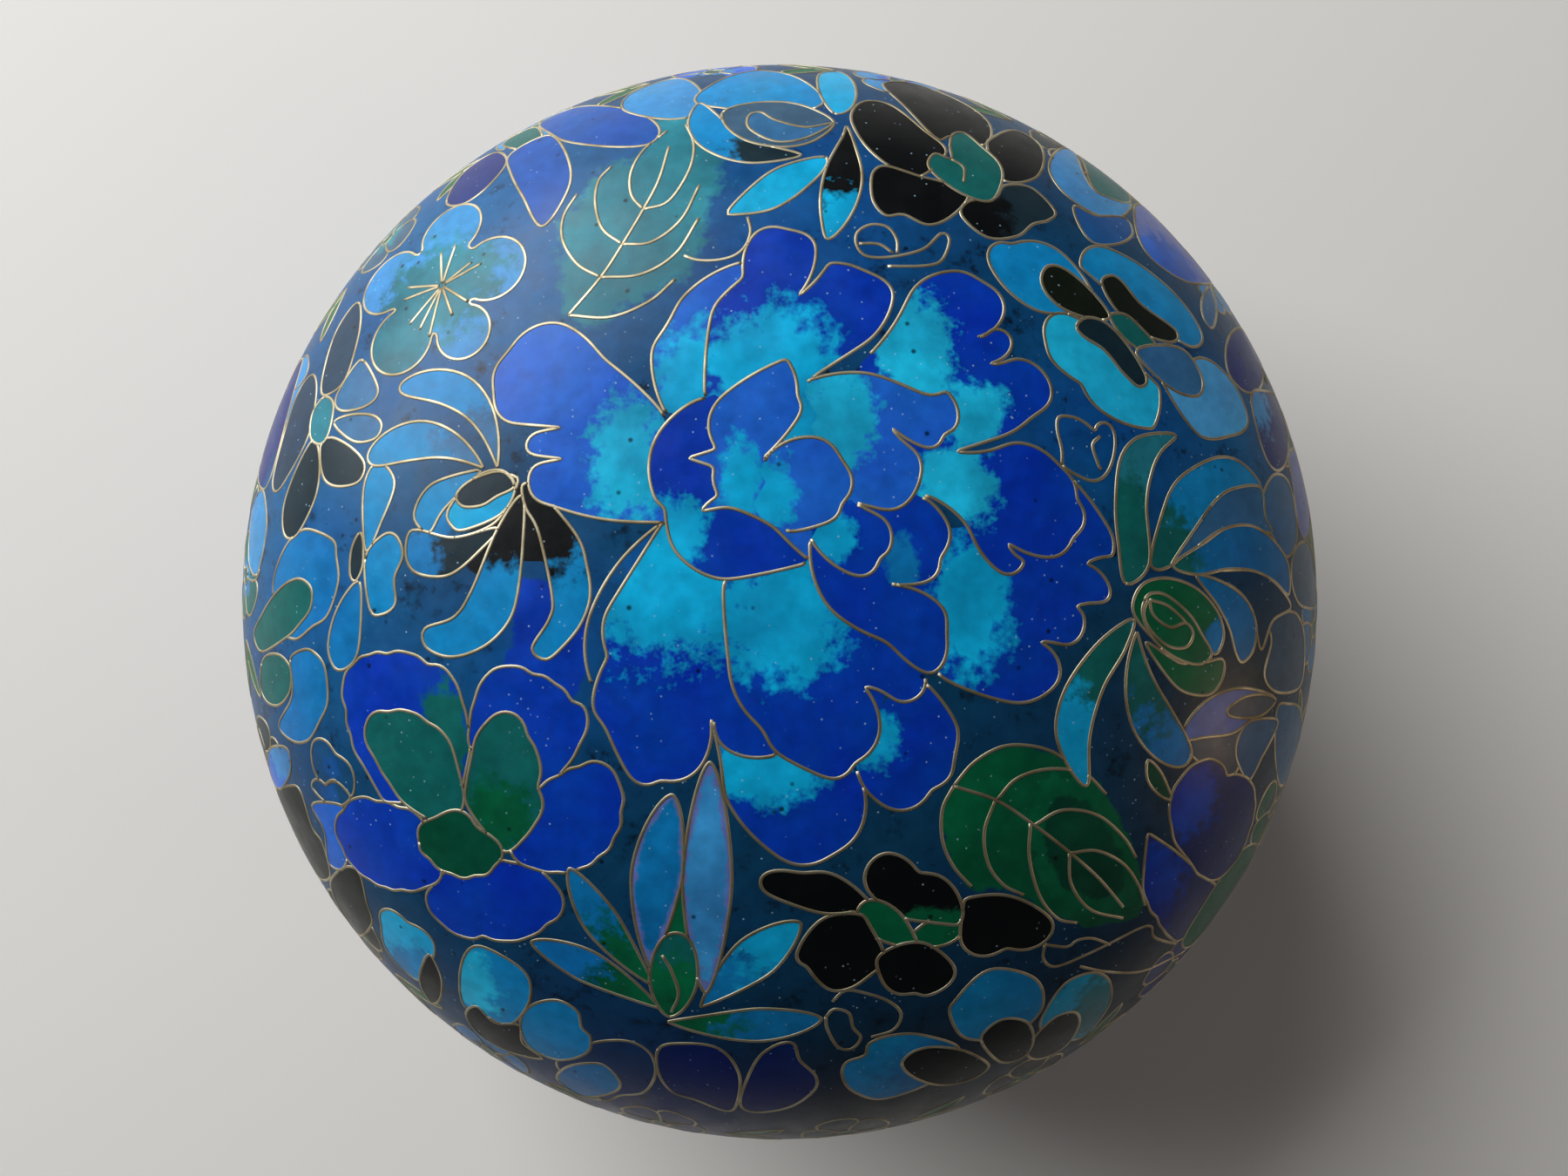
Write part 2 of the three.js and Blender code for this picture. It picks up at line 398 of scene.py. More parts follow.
# Right of the lily: five near-black petals with green between them.
def darkBlossom():
    cell(bent([(8.6, -28, .4), (4.6, -24.5, .2), (2.1, -24.7, .4), (-1.6, -24.6, .5), (-1.2, -26.6, .1),
               (4, -28.6, .2)]), "ink")
    drop((11.5, -31.8), (17.2, -30), 3.2, "pine")
    cell(bent([(16.9, -32, .1), (17.1, -27.5, .2), (21.1, -27.3, .4), (26.3, -30.6, .6), (25, -33.2, .4),
               (21.7, -33, .2), (19.4, -33.8, .4)]), "ink")
    cell(bent([(7.6, -25.4, .6), (9.6, -22.6, .5), (12.7, -24.7, 0), (14.5, -24.9, .5), (17, -28.5, .3),
               (16.7, -30.2, 0), (11, -29.2, 0), (8.3, -26.8, .1)]), "ink", "pine", [(13.5, -30, 5, 1.8)])
    drop((13, -32.4), (7.4, -27.7), 3.4, "pine")
    cell(bent([(9.6, -32.2, 0), (7.7, -28.7, .3), (4, -28.9, .3), (1.6, -32.4, .6), (2.5, -33.9, .2),
               (4.8, -36.8, .6), (8.4, -35, .8)]), "ink")
    cell(bent([(9.7, -32.6, .4), (13.5, -31.7, .3), (16.9, -35, .6), (14.8, -37.5, .5), (13, -37.3, .2),
               (10.9, -37.3, .4), (9.3, -34.5, .6)]), "ink")


# Upper left: five round petals round a teal heart, with a burst of stamens. Each lobe is an arc of more than
# half a circle between two notches.
def starFlower():
    lobes = [((-36.9, 36.3), (-31.3, 35.6)), ((-30.6, 34.9), (-29.8, 29.4)),
             ((-30.1, 28.7), (-33.1, 26.0)), ((-33.7, 26.2), (-38.6, 29.4)),
             ((-39.0, 29.8), (-37.6, 35.8))]
    outlines = []
    for start, end in lobes:
        outlines += [arcPoints(start, end, -starReach(start, end)), np.array([end])]
    centre = np.array([-33.4, 31.3])
    cell(soften(np.vstack(outlines), True, 1), "sky", "teal", [(*centre, 6.6, 5.6), (-38.4, 25, 5, 4.4)])
    for degrees, length in ((82, 4.8), (103, 4.2), (24, 4.6), (36, 3.8), (172, 4.4), (190, 4.6), (230, 5),
                            (248, 5), (264, 5.6), (296, 4), (325, 4)):
        ray = np.array([np.cos(np.radians(degrees)), np.sin(np.radians(degrees))])
        wire(curve([centre + .3 * ray, centre + length / 2 * ray, centre + length * ray]))


# How far a lobe of that flower bows out, from the distance between its two notches.
def starReach(start, end):
    return .62 * np.hypot(end[0] - start[0], end[1] - start[1]) + 2.4


# Left edge: narrow grey-blue petals round a teal oval.
def slateFlower():
    petals([
        ("violet", [(-55, 28), (-60.5, 25), (-63, 17), (-57, 12.5), (-54.5, 18)],
         "ground", [(-54, 12, 4, 4)]),
        ("night", [(-44.7, 31.7), (-46.3, 31.7), (-48, 28.5), (-48, 22.4), (-46.3, 21.4), (-44.1, 22.9),
                   (-43.5, 28)]),
        ("steel", [(-41.8, 24.2), (-43.2, 23.9), (-45.2, 20.7), (-44, 19.2), (-40.7, 19.3), (-39.4, 20.8)]),
        ("steel", [(-44.9, 18), (-42.7, 18.6), (-39.7, 18.2), (-38.5, 17.1), (-39.2, 15.8), (-41.9, 15.8)]),
        ("dusk", [(-46.5, 15.8), (-45, 16.5), (-42, 15.1), (-40.2, 13.3), (-40.9, 11.6), (-43.8, 11.4),
                  (-45.7, 12.6)]),
        ("dusk", [(-48.2, 16.4), (-46.5, 14.6), (-46.5, 10.6), (-49.1, 6.8), (-51.4, 7.1), (-51.6, 10.8)]),
        ("night", [(-50.4, 24.5), (-48.7, 22), (-48.9, 16.9), (-52.8, 12.1), (-54.9, 12.7), (-54.3, 17),
                   (-52.9, 22.8)]),
        ("teal", [(-47.1, 21.2), (-45.4, 20.1), (-45.5, 17.1), (-46.6, 16), (-48.4, 17), (-48.7, 19.7)]),
    ])


# Left: a chrysanthemum with curling petals that turn near-black towards the heart.
def spiralFlower():
    drop((-25.8, 12.3), (-36.8, 20.6), 3.4, "azure", -3.4, "steel", .45)
    drop((-27.2, 12.3), (-39.8, 13.6), 3.8, "azure", -2.3, "steel", .4)
    petals([
        ("dusk", [(-23.9, 10.4), (-25.9, 7.2), (-30, 5.9), (-33.3, 6.8), (-31.9, 8.2), (-28, 11.4),
                  (-24.3, 11.5)],
         "lagoon", [(-32, 7.4, 3, 2)]),
        ("azure", [(-27.8, 12.1), (-32.5, 10.9), (-34.2, 8.1), (-32.6, 6.4), (-31.1, 8.5), (-28, 11.4)]),
        ("turquoise", [(-24, 10.4), (-25.4, 12), (-28, 11.4), (-30.6, 8.5), (-30.2, 7), (-28.9, 6.6),
                       (-25.3, 8)]),
        ("dusk", [(-24.1, 10.5), (-25.4, 11.9), (-28.3, 11.2), (-29.8, 9.9), (-29.2, 8.8), (-27.3, 8.8),
                  (-25.8, 9.6)]),
        ("dusk", [(-33.7, 6.7), (-34.8, 6.2), (-34.9, 4), (-33.6, 2.6), (-30.3, 2.5), (-27.1, 4.9),
                  (-25.7, 6.7), (-30, 5.9)], "lagoon", [(-34.5, 4.4, 3, 3)]),
        ("azure", [(-23.3, 9.6), (-25.6, 6.7), (-28.1, 1.1), (-29.9, -1.4), (-32.9, -2.5), (-32.9, -4.1),
                   (-31.1, -5), (-29, -4.9), (-26.5, -3.8), (-24.6, -1.9), (-23.7, .5), (-23.2, 5)],
         "ink", [(-24.4, 8, 4, 5)]),
        ("azure", [(-23.3, 10.6), (-23, 8.6), (-21.7, 6.2), (-20.4, .5), (-20.7, -1.6), (-22.3, -4.2),
                   (-21, -5.2), (-19.3, -3.9), (-17.7, -1.9), (-16.9, .5), (-17.2, 3.2), (-18.2, 6),
                   (-21.8, 10.1)],
         "ink", [(-20.4, 8, 4, 5)]),
    ])


# Left of the spiral: single drops, turquoise and blue.
def leftDrops():
    petals([
        ("azure", [(-38.2, 13.4), (-36.5, 11.2), (-37.9, 7.4), (-39.4, 4.8), (-40, 7.6), (-40.1, 11),
                   (-39.4, 12.9)]),
        ("azure", [(-39.6, 4.1), (-37.6, 6.3), (-36.1, 6.2), (-35.3, 4.4), (-36.2, 2.2), (-36.1, -.2),
                   (-37.6, -1.2), (-39, -.7)]),
        ("dusk", [(-40.4, 6.6), (-41.3, 5), (-41.4, 2.6), (-40.7, 2), (-39.9, 3.4), (-39.9, 5.8)]),
        ("lagoon", [(-40.3, 1.9), (-42, .7), (-43.6, -1.8), (-44.3, -4.6), (-43.5, -6.5), (-41.9, -6.4),
                    (-40.5, -4.8), (-40, -.7)]),
    ])


# Right: a chrysanthemum with long fanned petals, green at the root, and a nest of rings at its heart.
def fanFlower():
    petals([
        ("steel", [(52.4, 13.5), (49.8, 11.2), (49.6, 8.8), (51.5, 6), (53.8, 4.8), (56.2, 7.5),
                   (55.6, 12.8)]),
        ("slate", [(50.4, -4.2), (50, -2.2), (52.2, -1.1), (55.6, -1.4), (57.8, -4.2), (57.8, -9.1),
                   (52.3, -9.5), (49.5, -7.6)]),
        ("slate", [(57, -.5), (54.5, 1.5), (54.6, 4.6), (57, 6.5), (61, 6), (63, 0)]),
        ("ground", [(39.9, 2.6), (43.8, 3.1), (48.2, 3), (51.9, 1.4), (54, -.6), (50.6, -1.9), (48.7, -4.8),
                    (47.2, -.8), (44.4, 1.5)]),
        ("azure", [(34.7, 3.5), (35.9, 7.9), (37.9, 11.5), (42, 13.9), (45.3, 14.4), (48.1, 13.3),
                   (49.4, 11.6), (45.6, 11.4), (42.8, 10.1), (39.8, 7), (37, 3.5)],
         "sea", [(36, 4.6, 4, 4.6)]),
        ("steel", [(37, 3.5), (39.8, 7), (42.8, 10.1), (45.6, 11.4), (49.4, 11.7), (49.8, 8.8), (50.6, 7.1),
                   (46.5, 7.6), (42.8, 6.9), (39.5, 4.9)]),
        ("lagoon", [(37.2, 3.5), (41.1, 5.8), (44, 7.3), (47.8, 7.6), (51.5, 6), (53.7, 3.8), (53.6, .8),
                    (50.9, 2.1), (47.5, 3.1), (43.8, 3.2), (39.9, 2.6)], "sea", [(37, 3.6, 3, 2)]),
        ("lagoon", [(39.9, 2.5), (43.2, 1.9), (46.2, .3), (47.8, -2.1), (47.6, -4.7), (46, -6), (45, -5.1),
                    (44, -2.6), (42.4, -.3)]),
        ("teal", [(32, 1.7), (31.3, 5.3), (31.1, 8.9), (31.7, 13.1), (33.4, 15.3), (36.1, 16.1), (38.2, 16),
                  (36.4, 14.4), (35.2, 12.4), (34.4, 9.1), (34.5, 3.5)], "sea", [(33, 3, 5, 8)]),
        ("turquoise", [(32.8, -1.6), (29.4, -3.6), (26.2, -7.6), (25.2, -11.6), (26.6, -15.2), (28.6, -17),
                       (28.6, -12.4), (29.8, -8), (32, -4.4)], "sea", [(30.4, -4.6, 5, 5)]),
    ])
    drop((33.2, -2.8), (39.8, -15.4), 4.4, "lagoon", -2.2, "sea", .7)
    petals([
        ("pine", [(34.2, -3.8), (36.1, -6.5), (38.4, -8.5), (41.6, -9), (43.3, -7.6), (43.2, -5.6),
                  (40.4, -5.9), (37.3, -5.4)]),
        ("pine", [(32.9, -1.2), (33, .6), (34.3, 1.9), (36.9, 2.2), (40, 1.2), (42.4, -.9), (43.3, -3.1),
                  (42.7, -4.8), (41.4, -5.2), (38, -5.8), (34.9, -3.4)], "lagoon", [(43, -4, 2, 2.6)]),
        ("pine", [(34, .1), (34.7, .8), (36.4, .6), (39, -1.2), (40.5, -3.1), (41.8, -5.1), (40.2, -6),
                  (37.3, -5.2), (34.9, -3.4), (33.8, -1.2)]),
        ("pine", [(34.5, .2), (34.9, -1.2), (36.8, -2.4), (38.6, -2), (39.5, -3.1), (38.7, -4.3),
                  (36.7, -4.2), (34.7, -2.7), (33.9, -1.1)]),
    ])
    wire(curve([(34.5, .2), (36.4, -.3), (38, -1.4), (38.6, -2)]))


# Upper right: turquoise wings over dark inner petals.
def butterflyFlower():
    cell(bent([(20, 31.5, .5), (20.3, 34.2, .3), (22.3, 34.4, .6), (27, 34.6, .3), (30, 31, 0),
               (31.3, 28, .2), (24.7, 27.2, .7)]), "azure")
    cell(bent([(29.4, 32.8, .9), (32.5, 35.9, .4), (39, 33.4, .7), (44, 27.6, .8), (40.8, 25.9, 0),
               (34, 29, 0)]),
         "azure")
    cell(bent([(25, 24, .6), (25.6, 27.2, .4), (28.5, 27, 0), (33, 24, 0), (36.8, 20.8, .4),
               (35.6, 16.5, .5), (30, 17.9, .3), (28.2, 20.4, .2), (25.5, 22.3, .3)]), "aqua")
    cell(bent([(36.9, 21.9, 0), (38.2, 19.6, .2), (41.2, 16.1, .3), (45.4, 16.8, .4), (48.9, 18.6, .6),
               (46.7, 23.3, .5), (42.6, 24.9, 0)]), "paleSky")
    petals([
        ("olive", [(25, 31), (25.9, 32.4), (27.6, 32.3), (30, 30.5), (32, 27.7), (30, 27.1), (27.1, 27.8),
                   (25.4, 29.3)]),
        ("olive", [(31.6, 31.3), (32.9, 32.4), (34.2, 31.8), (36.1, 29.5), (40, 27.3), (39.1, 25.9),
                   (35.6, 26.3), (32.8, 28.5)]),
        ("sea", [(32, 27.7), (33.8, 28.1), (35.6, 26.8), (37, 25.1), (35.3, 24.4), (33.2, 25.6)]),
        ("dusk", [(28.2, 26.2), (29.3, 27.2), (31.4, 26.9), (33.6, 24.8), (35.4, 21.6), (34.4, 20.6),
                  (32.8, 21.8), (30.9, 24), (28.8, 25.2)]),
        ("steel", [(34.6, 24.4), (37.8, 25.4), (40.8, 25.1), (42.5, 22.5), (41.6, 20.5), (38.7, 20.6),
                   (35.8, 22.5)]),
    ])


# Upper edge: a dark chrysanthemum and a near-black flower with a green heart.
def topFlowers():
    petals([
        ("sky", [(-16.7, 52.7), (-16.5, 57), (-12, 60), (-8.5, 55), (-8.4, 50.3), (-12.1, 49.8)]),
        ("azure", [(-8.4, 52), (-7.5, 56), (-3, 60), (1.5, 58), (4.6, 52), (0, 50)]),
        ("turquoise", [(5.6, 50), (4.2, 54), (4.5, 59), (7, 60.5), (8.2, 56), (7.6, 51.4)]),
        ("azure", [(-8.4, 52.1), (-9.3, 48.8), (-8.2, 45.6), (-5.5, 43.4), (-2.1, 42.6), (2.1, 43.6),
                   (-1.3, 45), (-4.3, 46.7), (-6.5, 50)], "dusk", [(0, 44, 4.6, 3.5)]),
        ("turquoise", [(4.5, 43.4), (1.7, 42.8), (-1.3, 41.1), (-4.8, 37), (-3.7, 36.5), (-.8, 37),
                       (1.7, 38.7), (4.2, 41.6)]),
        ("slate", [(-5.8, 50.2), (-3.2, 51.6), (.9, 51.7), (4, 50.2), (5.5, 48.2), (3.4, 45.6), (.4, 44.7),
                   (-3, 45.5), (-5.2, 47.6)]),
        ("steel", [(5.4, 48.3), (2.6, 46), (-.4, 45.5), (-3, 47.4), (-3.1, 49.5), (-1.9, 50), (-.4, 48.7),
                   (2.6, 47.6)]),
        ("ink", [(6.3, 46.4), (4.6, 42.3), (3.9, 38.6), (4, 35.5), (4.5, 33.8), (6, 35.2), (7.4, 38),
                 (8, 41.3), (7.5, 45), (6.8, 47.9)], "turquoise", [(5, 33.5, 5, 5.4)]),
        ("ink", [(11.5, 57.5), (13.3, 52.3), (16, 47.3), (17.8, 48), (21.2, 47.4), (22.7, 50.4),
                 (22.4, 53.8), (19.7, 57.5), (15.5, 60)]),
        ("ink", [(7.3, 48.9), (8, 51.6), (9.6, 52.8), (11.9, 52.2), (14.7, 48.5), (16.8, 45.4),
                 (13.8, 41.6), (11.1, 42.4), (8.6, 45.1)]),
        ("ink", [(21.5, 47.1), (22.8, 49.4), (26, 52.1), (28.5, 51), (28.3, 47.4), (26.2, 43.5),
                 (22.5, 42.4)]),
        ("ink", [(8.8, 40.1), (9.2, 41.9), (10.5, 42.6), (13.7, 41.6), (16.3, 41), (18.4, 39.6),
                 (16.4, 36.9), (14.1, 35.8), (11.8, 36.8), (10.1, 36.6), (9, 38)]),
        ("dusk", [(17.5, 37.2), (18.4, 39), (21.2, 39.8), (22.6, 41.7), (25.6, 41.9), (27.7, 39.3),
                  (26.7, 37.9), (24.9, 37.1), (23, 35.4), (19.9, 34.9)], "ink", [(19, 37, 4, 4)]),
        ("sea", [(17.3, 46.2), (17.9, 48.3), (19.3, 48.9), (20.9, 47), (22.4, 44.9), (22.4, 42.5),
                 (20.8, 39.4), (18.1, 39.7), (15.6, 41.6), (14.7, 43.3), (15.6, 44.9), (17.2, 44.4)]),
    ])
    wire(curve([(17.2, 44.4), (18.4, 43.4), (18.2, 41.4)]))


# Petals that show at the upper edge, left to right.
def upperEdge():
    petals([
        ("violet", [(-36, 43.2), (-36.1, 48.5), (-34.3, 50.9), (-31.6, 50.5), (-29.3, 47.2), (-30.6, 43.7),
                    (-33.2, 41.9)]),
        ("sea", [(-31.8, 52.5), (-30.7, 55.3), (-27.6, 54), (-25.4, 49.4), (-26, 47.1), (-28.2, 49)]),
        ("iris", [(-24.6, 50.3), (-21.7, 45.5), (-20.9, 41.1), (-23.1, 36.6), (-25.9, 40.9), (-28, 44.6),
                  (-29.4, 48.2), (-27.5, 50.2)]),
        ("iris", [(-27.6, 55), (-25, 57.6), (-19.7, 54.9), (-14.6, 51.3), (-12.2, 48.1), (-13.2, 45.9),
                  (-17.2, 46.2), (-21.8, 48), (-24.5, 50.4)]),
        ("sky", [(28.6, 46.3), (31.3, 50.8), (35.4, 54.7), (33.5, 47.8), (34.3, 43.9), (39.4, 45),
                 (37.2, 41.7), (34.1, 40.1), (30.8, 41), (28.8, 43.2)]),
        ("sea", [(36.2, 54.1), (38, 52.9), (41.4, 50.2), (39.8, 45.4), (36.6, 43.9), (33.8, 45.2)]),
        ("groundBlue", [(30.2, 40.6), (32.7, 40), (37, 41.1), (37.3, 38.9), (34.9, 36.8), (31.7, 36),
                        (30.3, 37.8)]),
        ("lilac", [(40.2, 44.8), (44.5, 47.5), (47.7, 42.6), (52.2, 38.9), (44.9, 34.6), (39.5, 35.5),
                   (38, 39.1)],
         "royal", [(42, 37, 5, 3.5)]),
        ("steel", [(45.4, 32.4), (48.7, 35.7), (48.5, 33), (46, 29.1), (44.8, 29.8)]),
        ("violet", [(47.5, 27.1), (50.7, 30.3), (56.3, 32.8), (58.1, 29.4), (53.2, 23.8), (49.5, 22.2),
                    (46.9, 23.7)]),
        ("violet", [(50.2, 21.8), (54, 23.5), (59.1, 24), (58.2, 19.1), (55.7, 15.4), (52.7, 14),
                    (50.6, 16)],
         "sky", [(51, 21, 3, 3)]),
        ("lilac", [(57.2, 16.7), (56.5, 12.6), (57, 7.8), (60, 7.5), (64, 12.6), (62.6, 17.9)]),
    ])


# Petals that show at the right edge, down to the lower right.
def rightEdge():
    petals([
        ("steel", [(52.3, -11.3), (54.9, -11), (58.8, -12.2), (62.9, -16.8), (61.7, -20.9), (57, -20.9),
                   (53.4, -16.8)]),
        ("mist", [(38.7, -13.2), (42, -11.6), (46.4, -12), (47, -14.5), (46.4, -17.3), (44.3, -17.4),
                  (40.6, -15.4)]),
        ("steel", [(47.8, -12.1), (46.1, -13.7), (46.2, -15.9), (48.7, -18.5), (50.6, -16.2), (52.3, -14),
                   (52.5, -12.4)]),
        ("lilac", [(38.7, -13.2), (39.6, -11), (42.4, -9.1), (46.3, -8.6), (51.3, -9.8), (50.4, -10.9),
                   (47.8, -12), (45.2, -13.1), (41.6, -13.2)]),
        ("mist", [(51.9, -10.3), (49.7, -9.5), (46.7, -9.5), (44.5, -10.4), (44.4, -11.2), (46.9, -11.7),
                  (49.7, -11.6)]),
        ("moss", [(34.9, -15), (36.3, -16.1), (37.5, -18), (38, -19.2), (36.4, -18.5), (35, -16.9)]),
    ])
    cell(bent([(35.6, -22.3, .1), (35.8, -27.5, .3), (38.6, -32.2, .3), (43.8, -37.2, .6),
               (47.6, -31.4, .2), (42.5, -27.2, 0), (39, -24.5, 0)], scallop=.35),
         "violet", "cobalt", [(38, -29, 3.5, 6)])
    petals([("pine", [(44.5, -37.6), (46.8, -31), (51, -27.2), (56, -29), (55.5, -36), (50, -40.5)])])
    cell(bent([(37.9, -19.5, .7), (41.3, -15.6, .7), (45, -17.6, .4), (49.2, -19, .8), (51, -25, 1.2),
               (46.8, -29.8, .2), (42.5, -27.3, 0), (39.6, -24.4, .2)], scallop=.35),
         "violet", "cobalt", [(40, -19.5, 4, 4)])


# Petals along the lower edge, right to left.
def lowerEdge():
    petals([
        ("turquoise", [(27.1, -44.3), (27.1, -41.3), (28.8, -38.2), (31.8, -37.6), (34.2, -39.3),
                       (35.6, -43), (35.2, -46.2), (34.2, -48.8), (30.7, -47.6)],
         "teal", [(33.6, -43.6, 3, 5)]),
        ("ink", [(26.6, -48.6), (26.5, -45.6), (28.5, -42.9), (31, -43), (32.2, -45.6), (31.6, -49.4),
                 (28.9, -50.4)]),
        ("azure", [(16.6, -40.2), (17.1, -38.4), (19.2, -35.8), (21.4, -35.3), (24.7, -36.7), (26.3, -39),
                   (26.3, -41.9), (23.6, -44.4), (18.7, -43.7)]),
        ("ink", [(20.5, -44.7), (20.8, -42.8), (22.7, -41.7), (25.3, -42.9), (26.6, -46), (26.1, -48.6),
                 (23.5, -48.7)]),
        ("azure", [(6.3, -47.6), (6.6, -45.7), (8.4, -44.8), (8.8, -43.2), (11.1, -42.3), (14.1, -42.6),
                   (18, -44.9), (17.5, -48.5), (14.1, -51.1), (10.3, -52.1), (7.4, -50.1)],
         "lagoon", [(15, -47, 4, 5)]),
        ("ink", [(12.3, -46.5), (13.3, -44.8), (15.6, -44.4), (19, -45.7), (22, -48.8), (20.4, -50.9),
                 (17, -50.9), (13.9, -48.9)]),
        ("deep", [(-4.1, -51.8), (-2.5, -45.7), (-.6, -43.3), (1.3, -42.9), (2, -45.2), (3.6, -47.5),
                  (3.5, -49.8), (.9, -52.9), (-2.8, -53.9)]),
        ("deep", [(-12, -44.3), (-9.8, -43.3), (-6, -43.7), (-4.1, -47), (-4.3, -51.4), (-5.4, -53.9),
                  (-8.6, -52.1), (-11.1, -50.9), (-12.3, -47.8)]),
        ("ground", [(-23.7, -49.6), (-20.9, -45.8), (-17.9, -44), (-14.7, -43.6), (-12.8, -45.2),
                    (-12.7, -48.3), (-14.4, -51.7), (-17.1, -53.1), (-19.8, -55.2)]),
        ("lagoon", [(-24.5, -52.8), (-22.9, -49.6), (-20.3, -47.9), (-17.9, -47.7), (-16.7, -50.5),
                    (-18.3, -53.1), (-22.3, -55.7)]),
        ("azure", [(-26.1, -41.9), (-24.3, -40), (-21.8, -39.2), (-19.9, -40.3), (-19.7, -42.4),
                   (-18.9, -43.7), (-19.8, -46.2), (-23.3, -48.2), (-26.2, -47.2), (-26.8, -44.5)]),
        ("azure", [(-33.4, -42.8), (-33, -39.2), (-31.7, -35.7), (-30.1, -34), (-28.1, -34.2),
                   (-25.3, -35.8), (-24.5, -37.8), (-25.5, -40.9), (-28.3, -44.1), (-31, -43.4)],
         "aqua", [(-31.5, -38.5, 3, 4.5)]),
        ("ink", [(-33.7, -44.3), (-31.7, -42.3), (-30, -44.2), (-26.9, -43.7), (-27.1, -46.6),
                 (-25.3, -48.7), (-29.6, -49.3), (-33.1, -47.7)]),
    ])
    cell(bent([(-42.2, -34.5, .5), (-41.2, -31.8, .6), (-38, -32.8, .5), (-34.9, -34.4, .5),
               (-36.9, -38, .4), (-39.5, -41.5, .5), (-43, -39, .5)]),
         "turquoise", "azure", [(-39, -39, 4, 3)])
    petals([("ink", [(-36, -36.4), (-37.6, -38.2), (-39.4, -42), (-39, -45), (-36.8, -43), (-35.4, -39.4)])])


# Petals that show at the left edge, from the bottom upwards.
def leftEdge():
    petals([
        ("olive", [(-48.3, -29.6), (-45.2, -27.7), (-43.5, -28.3), (-43.6, -31.6), (-44.1, -34.9),
                   (-49.6, -39.3), (-51.4, -36.8), (-50.7, -32.2)]),
        ("olive", [(-60.8, -23.3), (-53.5, -20.1), (-51.1, -20.3), (-50.3, -24.3), (-48.9, -26.2),
                   (-49.9, -30.6), (-56.3, -32.8), (-58.4, -28.7)]),
        ("royal", [(-49.3, -21.5), (-48, -24.2), (-48.8, -28.2), (-46.5, -28.4), (-44.7, -26),
                   (-45.2, -22.7), (-43.9, -20.8), (-46.4, -20.6)]),
        ("royal", [(-57.9, -16.9), (-53.1, -15.5), (-52, -16.8), (-53.2, -19), (-57.1, -21.4),
                   (-61.5, -21.5)],
         "sky", [(-55, -17, 3, 3)]),
        ("lagoon", [(-50.1, -5.9), (-48.3, -4.9), (-46.6, -4.9), (-44.9, -6.4), (-44.7, -9.8), (-46.1, -12),
                    (-48.1, -14.1), (-50.9, -14.6), (-53.5, -13.3), (-50.6, -10.3), (-50, -8.4)]),
        ("sea", [(-56.2, -6.7), (-54.3, -5.6), (-51.8, -5.6), (-50.2, -6.9), (-50.6, -9.3), (-52.9, -10.9),
                 (-55.7, -10.9), (-57.1, -9.5)]),
        ("lagoon", [(-53.1, 1), (-52.5, 3.5), (-50.8, 5.8), (-48.7, 7.1), (-46.8, 7.2), (-43.7, 6),
                    (-43.2, 4.4), (-42.9, 1.9), (-44.3, -1.3), (-46.5, -2.5), (-49.2, -3.8), (-51.9, -2.6)]),
        ("sea", [(-56, -5.4), (-58, -3.6), (-55.4, -1.2), (-52.7, .8), (-50.3, 2), (-48.2, 2.3),
                 (-46.6, 1.3), (-46.7, -.6), (-48.2, -2.1), (-50.7, -3.7)]),
        ("sky", [(-57, 3), (-60.5, 5), (-61, 11), (-57.5, 12.4), (-55.2, 8)]),
    ])


# Cloud curls: wires that only divide the ground.
def curls():
    rings = [
        [(-47.8, -17.8, .3), (-47.6, -14.2, .4), (-45.2, -13.9, .1), (-44.2, -15.2, .2), (-42.2, -16.2, .5),
         (-42.6, -19.5, .3), (-44.7, -17.9, -.3), (-46.3, -18.7, .2)],
        [(-48.8, -19.2, .5), (-47, -18.2, .2), (-46.3, -18.8, .2), (-44.7, -17.9, .2), (-42.7, -19.5, .4),
         (-45.6, -20.9, .4)],
        [(25.8, 12.5, -.1), (25.9, 14.4, .3), (25.6, 17.1, .6), (29.3, 15.8, .2), (29.6, 16.7, .5),
         (31.4, 16, .4), (30.2, 11.6, .5), (27.8, 11.4, .1)],
    ]
    lines = [
        [(29.8, 15.4), (29, 14.6), (29.3, 13.2), (29.7, 12.2)],
        [(7.4, 33.4), (9.3, 33.4), (10.6, 32.5)],
        [(11, 32.5), (11, 34), (10.2, 35.3), (8.6, 35.5), (7.3, 34.6), (7.2, 33.2), (8.1, 32.1),
         (10.4, 32.1), (13.5, 33.1), (15.3, 34.9), (16.1, 34.3), (15.2, 32), (13.4, 31.3), (10, 31.1)],
        [(-3, 36.2), (-2.7, 34.6), (-3.2, 33), (-4.3, 32), (-6, 31.6), (-7.7, 31.7), (-8.9, 32.2)],
        [(5, -37.9), (6.2, -36.7), (8, -37), (10.4, -38.1), (11.7, -39.7), (11.1, -41.6), (8.9, -42.4)],
        [(4.4, -39.7), (5.2, -38.8), (6.6, -39.3), (7.1, -41.1), (7.9, -42.4), (7.1, -43.8), (5.7, -43.5),
         (4.6, -41.2), (4.4, -39.7)],
        [(25.6, -33.1), (28.1, -33.7), (29.2, -33.1), (30.9, -33.2), (33.2, -34.4)],
        [(25.6, -33.1), (25.7, -34.8), (27.2, -35.9), (30.7, -35), (36.2, -33.2), (38.1, -33.3),
         (39, -34.9), (43.2, -37.3)],
        [(30, -36.4), (33.5, -37.9), (38.7, -39.6), (43, -39.8), (46.6, -40.2)],
    ]
    for marks in rings:
        middle = np.mean([m[:2] for m in marks], 0)
        cell(bent(marks), "ground", "groundBlue", [(*middle, 1.5, 1.5)])
    for marks in lines:
        wire(curve(marks))


